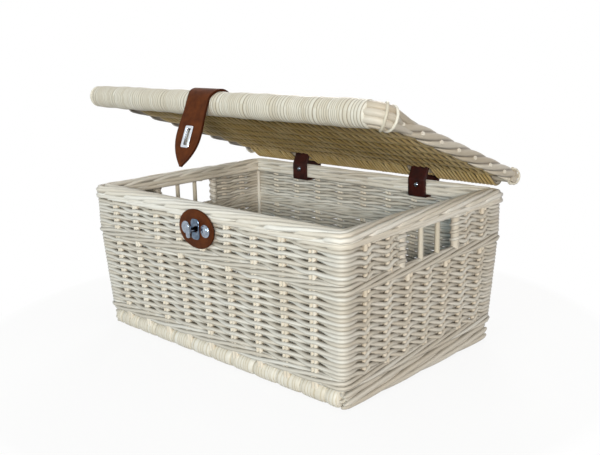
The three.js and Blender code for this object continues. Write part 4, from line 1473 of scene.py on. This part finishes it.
# A darker, bluer copy of the chrome: painted dark reflection on the plate
plate_chrome = plated_steel("chrome plate with painted dark reflection", "#8497ad", "#36424f")
plate_sections = (
    (6.2, 6.2, 3.0, lock_face),
    (13, 22, 4.3, lock_face),
    (13, 22, 4.3, -139.9),
    (12.2, 21.2, 4.0, -140.3),
    (6.2, 6.2, 3.0, -140.3),
)
plate = surface("lock_face_plate", front_rings(plate_sections), plate_chrome, closed=True)
dress(plate, "basket", "chrome", "lock_plate")

# Knob. A chrome bar on a round stem. It goes through the strap's slot in line with it, and a quarter
# turn sets it across the slot and keeps the strap on.
knob_sections = (
    (5.0, 5.0, 2.45, -139.4),
    (5.0, 5.0, 2.45, -146.1),
    (4.6, 14.2, 1.8, -146.1),
    (5.2, 15, 2.2, -146.9),
    (5.2, 15, 2.2, -149.2),
    (4.4, 14.0, 2.0, -150.2),
    (2.6, 11.6, 1.2, -150.6),
)
knob = surface("lock_turn_bar", front_rings(knob_sections), chrome)
dress(knob, "knob", "chrome", "lock_knob")


# Floor and light, in metres. A pale studio floor that runs into white, a cool soft light in front, a
# warm one off the front right corner, weak ones behind and above, and a white surround.
def studio_floor():
    # Painted board: matt and pale grey, lifted to white where the camera or a glossy piece sees it
    material, tree, shader = blank_material("studio floor")
    shader.inputs["Roughness"].default_value = 0.9
    place = add(tree, "ShaderNodeTexCoord").outputs["Object"]
    away = add(tree, "ShaderNodeVectorMath", {0: place}, operation="LENGTH").outputs["Value"]
    distances = {"Value": away, "From Min": 0.2, "From Max": 0.38}
    fade = add(tree, "ShaderNodeMapRange", distances).outputs["Result"]
    rays = add(tree, "ShaderNodeLightPath").outputs
    direct = {0: rays["Is Camera Ray"], 1: rays["Is Glossy Ray"]}
    seen = add(tree, "ShaderNodeMath", direct, operation="MAXIMUM").outputs[0]
    tint = {0: seen, 6: linear("#a3a29e"), 7: linear("#fbfbfa")}
    colour = add(tree, "ShaderNodeMix", tint, data_type="RGBA").outputs[2]
    tree.links.new(colour, shader.inputs["Base Color"])
    white = add(tree, "ShaderNodeEmission", {"Color": (1, 1, 1, 1), "Strength": 1.0})
    lifted = add(tree, "ShaderNodeMath", {0: fade, 1: 0.88}, operation="MAXIMUM").outputs[0]
    amount = add(tree, "ShaderNodeMath", {0: lifted, 1: seen}, operation="MULTIPLY").outputs[0]
    mix = add(tree, "ShaderNodeMixShader", {0: amount, 1: shader.outputs[0], 2: white.outputs[0]})
    tree.links.new(mix.outputs[0], tree.nodes["Material Output"].inputs["Surface"])
    return material


floor_reach = 6
floor_corners = [(floor_reach * sx, floor_reach * sy, 0) for sx, sy in ((-1, -1), (1, -1), (1, 1), (-1, 1))]
floor_mesh = bpy.data.meshes.new("studio_floor")
floor_mesh.from_pydata(floor_corners, [], [(0, 1, 2, 3)])
floor_mesh.materials.append(studio_floor())
floor = placed("studio_floor", floor_mesh)


def soft_light(name, place, target, size, watts, colour):
    data = bpy.data.lights.new(name, "AREA")
    data.shape = "DISK"
    data.size = size
    data.energy = watts
    data.color = colour
    lamp = placed(name, data)
    lamp.location = place
    aim = Vector(target) - Vector(place)
    lamp.rotation_euler = aim.to_track_quat("-Z", "Y").to_euler()


soft_light("key_light", (0.2, -3.5, 1.3), (0, 0, 0.15), size=1.1, watts=41, colour=(0.66, 0.88, 1.0))
soft_light("corner_light", (2.2, -2.4, 0.86), (0, 0, 0.17), size=0.5, watts=75, colour=(1.0, 0.95, 0.87))
soft_light("back_light", (-2.0, 2.6, 1.6), (0, 0, 0.15), size=1.6, watts=36, colour=(1.0, 0.97, 0.93))
soft_light("top_light", (0.2, 0.2, 2.2), (0, 0, 0.1), size=1.4, watts=9, colour=(1.0, 0.98, 0.95))

world = bpy.data.worlds.new("studio surround")
world.use_nodes = True
bpy.context.scene.world = world
surround = world.node_tree
sky = surround.nodes["Background"]
sky_place = add(surround, "ShaderNodeTexCoord").outputs["Generated"]
sky_height = add(surround, "ShaderNodeSeparateXYZ", {0: sky_place}).outputs["Z"]
sky_fade = {"Value": sky_height, "From Max": 0.9, "To Min": 0.14, "To Max": 0.34}
sky_level = add(surround, "ShaderNodeMapRange", sky_fade).outputs["Result"]
sky_rays = add(surround, "ShaderNodeLightPath").outputs
straight = {0: sky_rays["Is Camera Ray"], 1: sky_rays["Is Glossy Ray"]}
mirrored = add(surround, "ShaderNodeMath", straight, operation="MAXIMUM").outputs[0]
shown = add(surround, "ShaderNodeMath", {0: sky_level, 1: mirrored}, operation="MAXIMUM").outputs[0]
surround.links.new(shown, sky.inputs["Strength"])
sky.inputs["Color"].default_value = (1, 1, 1, 1)
bpy.context.scene.view_settings.view_transform = "Standard"
